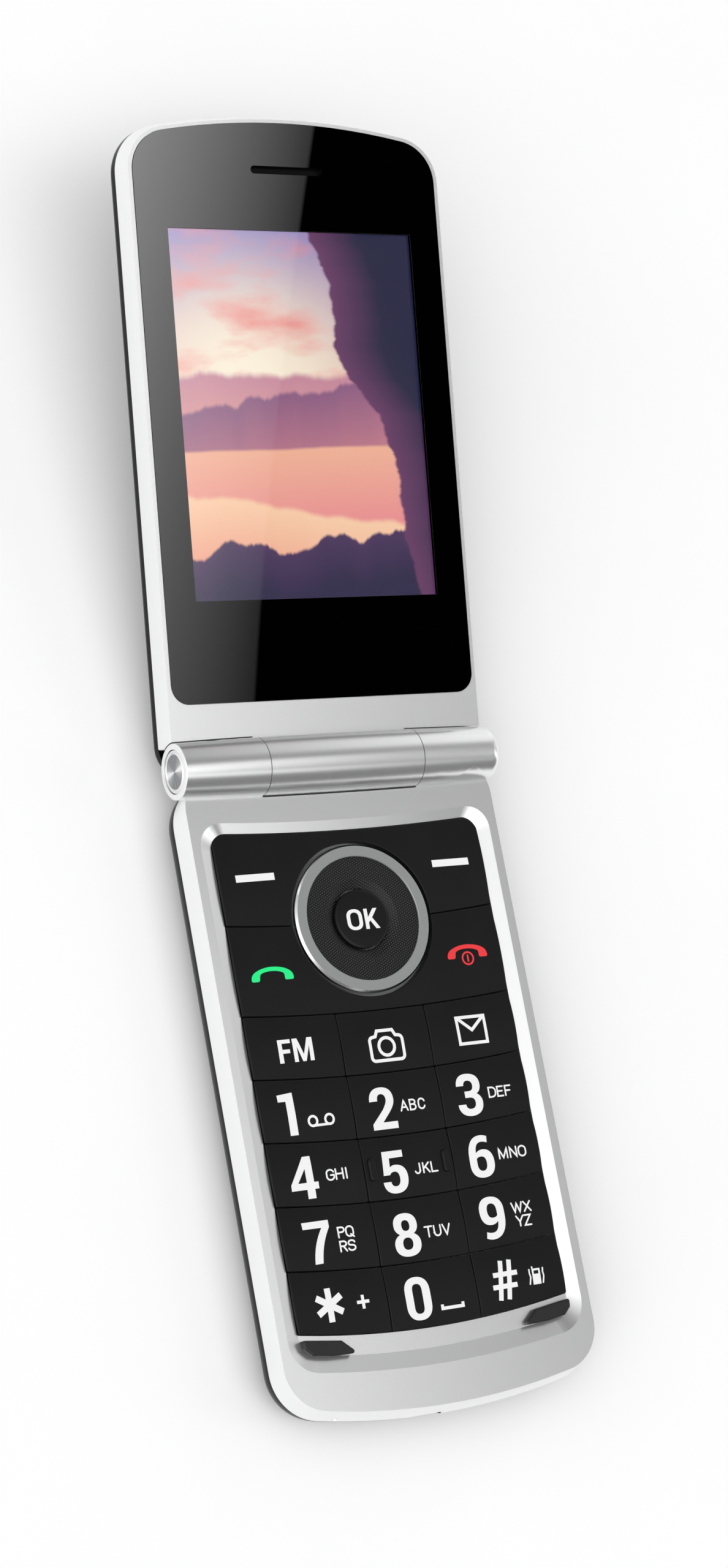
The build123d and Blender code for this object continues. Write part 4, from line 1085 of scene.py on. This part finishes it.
def dusk_bay():
    material, tree, shader = new_material("lit_wallpaper_dusk_bay", Roughness=0.4)
    uv = add(tree, "ShaderNodeTexCoord").outputs["UV"]
    axes = add(tree, "ShaderNodeSeparateXYZ", {"Vector": uv})
    x, y = axes.outputs["X"], axes.outputs["Y"]
    height = add(tree, "ShaderNodeMapRange", {"Value": y, "From Min": 0.45, "From Max": 1.0}).outputs[0]
    sky = add(tree, "ShaderNodeMix", {0: height, 6: colour("#ffd9b4"), 7: colour("#9a8cc0")},
              data_type="RGBA")
    sun = add(tree, "ShaderNodeMapping",
              {"Vector": uv, "Location": (-0.30, -0.75, 0), "Scale": (1, 1.33, 1)})
    far = add(tree, "ShaderNodeVectorMath", {0: sun.outputs[0]}, operation="LENGTH")
    glow = add(tree, "ShaderNodeMapRange",
               {"Value": far.outputs["Value"], "From Min": 0.62, "From Max": 0.05},
               interpolation_type="SMOOTHSTEP")
    lit = add(tree, "ShaderNodeMix", {0: glow.outputs[0], 6: sky.outputs[2], 7: colour("#fff3dc")},
              data_type="RGBA")
    streaks = add(tree, "ShaderNodeMapping", {"Vector": uv, "Scale": (2.2, 7.5, 1)})
    clouds = add(tree, "ShaderNodeTexNoise", {"Vector": streaks.outputs[0], "Scale": 1.0, "Detail": 8.0})
    cloud = add(tree, "ShaderNodeMapRange",
                {"Value": clouds.outputs["Fac"], "From Min": 0.48, "From Max": 0.70})
    paint = add(tree, "ShaderNodeMix", {0: cloud.outputs[0], 6: lit.outputs[2], 7: colour("#f2948f")},
                data_type="RGBA").outputs[2]
    for base, slope, swing, freq, seed, soft, top, foot, depth in HILLS:
        edge = wavy_edge(tree, x, base, slope, swing, freq, seed)
        paint = paint_layer(tree, paint, y, edge, soft, top, foot, depth)
    from_right = add(tree, "ShaderNodeMath", {0: 1.0, 1: x}, operation="SUBTRACT").outputs[0]
    cliff = wavy_edge(tree, y, 0.02, 0.42, 0.34, 3.4, 12.5)
    paint = paint_layer(tree, paint, from_right, cliff, 0.008, "#6a3a66", "#1d1c40", 0.20)
    tree.links.new(paint, shader.inputs["Emission Color"])
    shader.inputs["Emission Strength"].default_value = 1.0
    shader.inputs["Base Color"].default_value = colour("#060608")
    return material


picture.data.materials.append(dusk_bay())
print("picture plate", [round(v / MM, 1) for v in picture.dimensions], "mm")

# %% [markdown]
# ## Floor and light
# The phone lies in a white tent: a pale floor below, and a soft shell of light around. The shell is the
# world, painted by direction, and it is the same for every ray, so metal and glass mirror just what
# lights them. Seen from the middle of the floor, a direction's X and Y say where it points. The shell is
# painted in five columns from left to right. Each column is a ramp along Y, and the paint changes
# smoothly from one column to the next, which draws the light and dark bands on the barrel. A black card
# hangs on the right, so the glossy window mirrors black there. The cloth beside the card fades from
# bright to black towards it, and the window mirrors that as a grey sheen that stops at one crisp edge.
# Near the horizon all fades to plain white, which is the backdrop.

# %% Floor
FLOOR_SIZE = 6.0
PAPER_CLOUDS = 30.0          # to the metre
bpy.ops.object.select_all(action="DESELECT")
bpy.ops.mesh.primitive_plane_add(size=FLOOR_SIZE, location=(0, 0, 0))
floor = bpy.context.object
floor.name = "studio_floor"
material, tree, shader = new_material("pale_floor_paper", Roughness=0.9, Specular_IOR_Level=0.1)
place = add(tree, "ShaderNodeTexCoord").outputs["Object"]
paper = add(tree, "ShaderNodeTexNoise", {"Vector": place, "Scale": PAPER_CLOUDS})
two_tone(tree, shader, paper.outputs["Fac"], "#fcfcfc", "#ffffff")
floor.data.materials.append(material)
print("floor laid")

# %% The shell of light
TENT_X = (-0.5, 0.20, 0.40, 0.56, 0.85)
# Each row holds a direction's Y, then the light at the five columns. These levels weren't chosen by
# hand: a separate least-squares program made them, from brightness measured on the silver parts.
TENT = [
    (-1.00, 0.27, 0.12, 0.12, 0.12, 0.12), (-0.80, 0.45, 0.12, 0.12, 0.12, 0.12),
    (-0.64, 0.99, 0.40, 0.12, 0.12, 0.12), (-0.52, 1.88, 1.65, 1.82, 0.12, 0.12),
    (-0.40, 2.50, 2.50, 2.38, 0.12, 0.12), (-0.20, 2.46, 2.50, 2.50, 2.26, 1.66),
    (0.00, 1.66, 0.96, 0.95, 2.50, 0.63), (0.12, 1.52, 0.42, 0.12, 0.89, 0.36),
    (0.22, 1.56, 0.66, 0.13, 0.19, 0.90), (0.40, 1.08, 0.20, 0.12, 0.31, 0.55),
    (0.60, 0.84, 0.12, 0.12, 1.17, 0.86), (0.80, 0.69, 0.12, 0.12, 1.21, 1.12),
    (1.00, 0.62, 0.40, 0.29, 0.83, 0.98),
]
STRENGTH = 2.5


def grey(level):
    """A level of light as a colour of the tent, which is then multiplied by its strength."""
    return (level / STRENGTH,) * 3 + (1.0,)


BLACK = grey(0.0)
world = bpy.data.worlds.new("light_tent")
bpy.context.scene.world = world
world.use_nodes = True
tree = world.node_tree
tree.nodes.clear()
direction = add(tree, "ShaderNodeTexCoord").outputs["Generated"]
axes = add(tree, "ShaderNodeSeparateXYZ", {"Vector": direction})
along = add(tree, "ShaderNodeMapRange",
            {"Value": axes.outputs["Y"], "From Min": -1.0, "From Max": 1.0}).outputs[0]
shell = None
for column, x in enumerate(TENT_X):
    ramp = add(tree, "ShaderNodeValToRGB", {"Fac": along})
    set_stops(ramp, [((row[0] + 1) / 2, grey(row[1 + column])) for row in TENT])
    if shell is None:
        shell = ramp.outputs["Color"]
        continue
    reach = add(tree, "ShaderNodeMapRange", {"Value": axes.outputs["X"], "From Min": TENT_X[column - 1],
                                             "From Max": x}).outputs[0]
    shell = add(tree, "ShaderNodeMix", {0: reach, 6: shell, 7: ramp.outputs["Color"]},
                data_type="RGBA").outputs[2]
print(len(TENT_X), "columns of", len(TENT), "levels paint the shell")

# %% The black card and the glow along its edge
CARD_EDGE, CARD_FAR = 0.4847, 0.62            # in X, where the card starts and ends
CARD_SLANT = 0.0925                           # by which its edge leans, in X for each unit of Y
CARD_CRISP, CARD_FAR_FADE = 0.001, 0.08
FOOT_FROM, FOOT_FULL = -0.52, -0.40           # in Y, where card and glow fade in
HEAD_FROM, HEAD_FULL = 0.22, 0.14             # and where they fade out
GLOW_FROM, GLOW_FULL = 0.385, 0.43
GLOW_END, GLOW_CRISP = 0.50, 0.0001
GLOW_BRIGHT = 0.434                           # up to here the glow is at its full level
GLOW_RISES, GLOW_RISEN = -0.31, 0.04          # in Y
GLOW_LEVEL = 2.5
GLOW_AT_CARD = 0.13                           # the share that is left at the card's edge
x, y = axes.outputs["X"], axes.outputs["Y"]
slanted = add(tree, "ShaderNodeMath", {0: y, 1: -CARD_SLANT, 2: x}, operation="MULTIPLY_ADD").outputs[0]
span = [(y, FOOT_FROM, FOOT_FULL), (y, HEAD_FROM, HEAD_FULL)]
beside = masked(tree, span + [(slanted, GLOW_FROM, GLOW_FULL), (slanted, GLOW_END + GLOW_CRISP, GLOW_END)])
fading = add(tree, "ShaderNodeMapRange", {"Value": slanted, "From Min": CARD_EDGE,
                                          "From Max": GLOW_BRIGHT, "To Min": GLOW_AT_CARD}).outputs[0]
upward = masked(tree, [(y, GLOW_RISES, GLOW_RISEN)])
glow = add(tree, "ShaderNodeMath", {0: fading, 1: upward}, operation="MULTIPLY").outputs[0]
glow = add(tree, "ShaderNodeMix", {0: glow, 6: BLACK, 7: grey(GLOW_LEVEL)}, data_type="RGBA").outputs[2]
glowing = add(tree, "ShaderNodeMix", {0: beside, 6: shell, 7: glow}, data_type="RGBA").outputs[2]
dark = masked(tree, span + [(slanted, CARD_EDGE, CARD_EDGE + CARD_CRISP),
                            (slanted, CARD_FAR + CARD_FAR_FADE, CARD_FAR)])
carded = add(tree, "ShaderNodeMix", {0: dark, 6: glowing, 7: BLACK}, data_type="RGBA").outputs[2]
print("card from", CARD_EDGE, "to", CARD_FAR)

# %% White horizon, and the world's light
HORIZON_FULL, HORIZON_TOP = 0.02, 0.10
low = add(tree, "ShaderNodeMapRange",
          {"Value": axes.outputs["Z"], "From Min": HORIZON_TOP, "From Max": HORIZON_FULL},
          interpolation_type="SMOOTHSTEP")
tent = add(tree, "ShaderNodeMix", {0: low.outputs[0], 6: carded, 7: grey(1.0)}, data_type="RGBA")
light = add(tree, "ShaderNodeBackground", {"Color": tent.outputs[2], "Strength": STRENGTH})
add(tree, "ShaderNodeOutputWorld", {"Surface": light.outputs[0]})
print(len(tree.nodes), "nodes paint the tent")

# %% View settings
bpy.context.scene.view_settings.view_transform = "Standard"
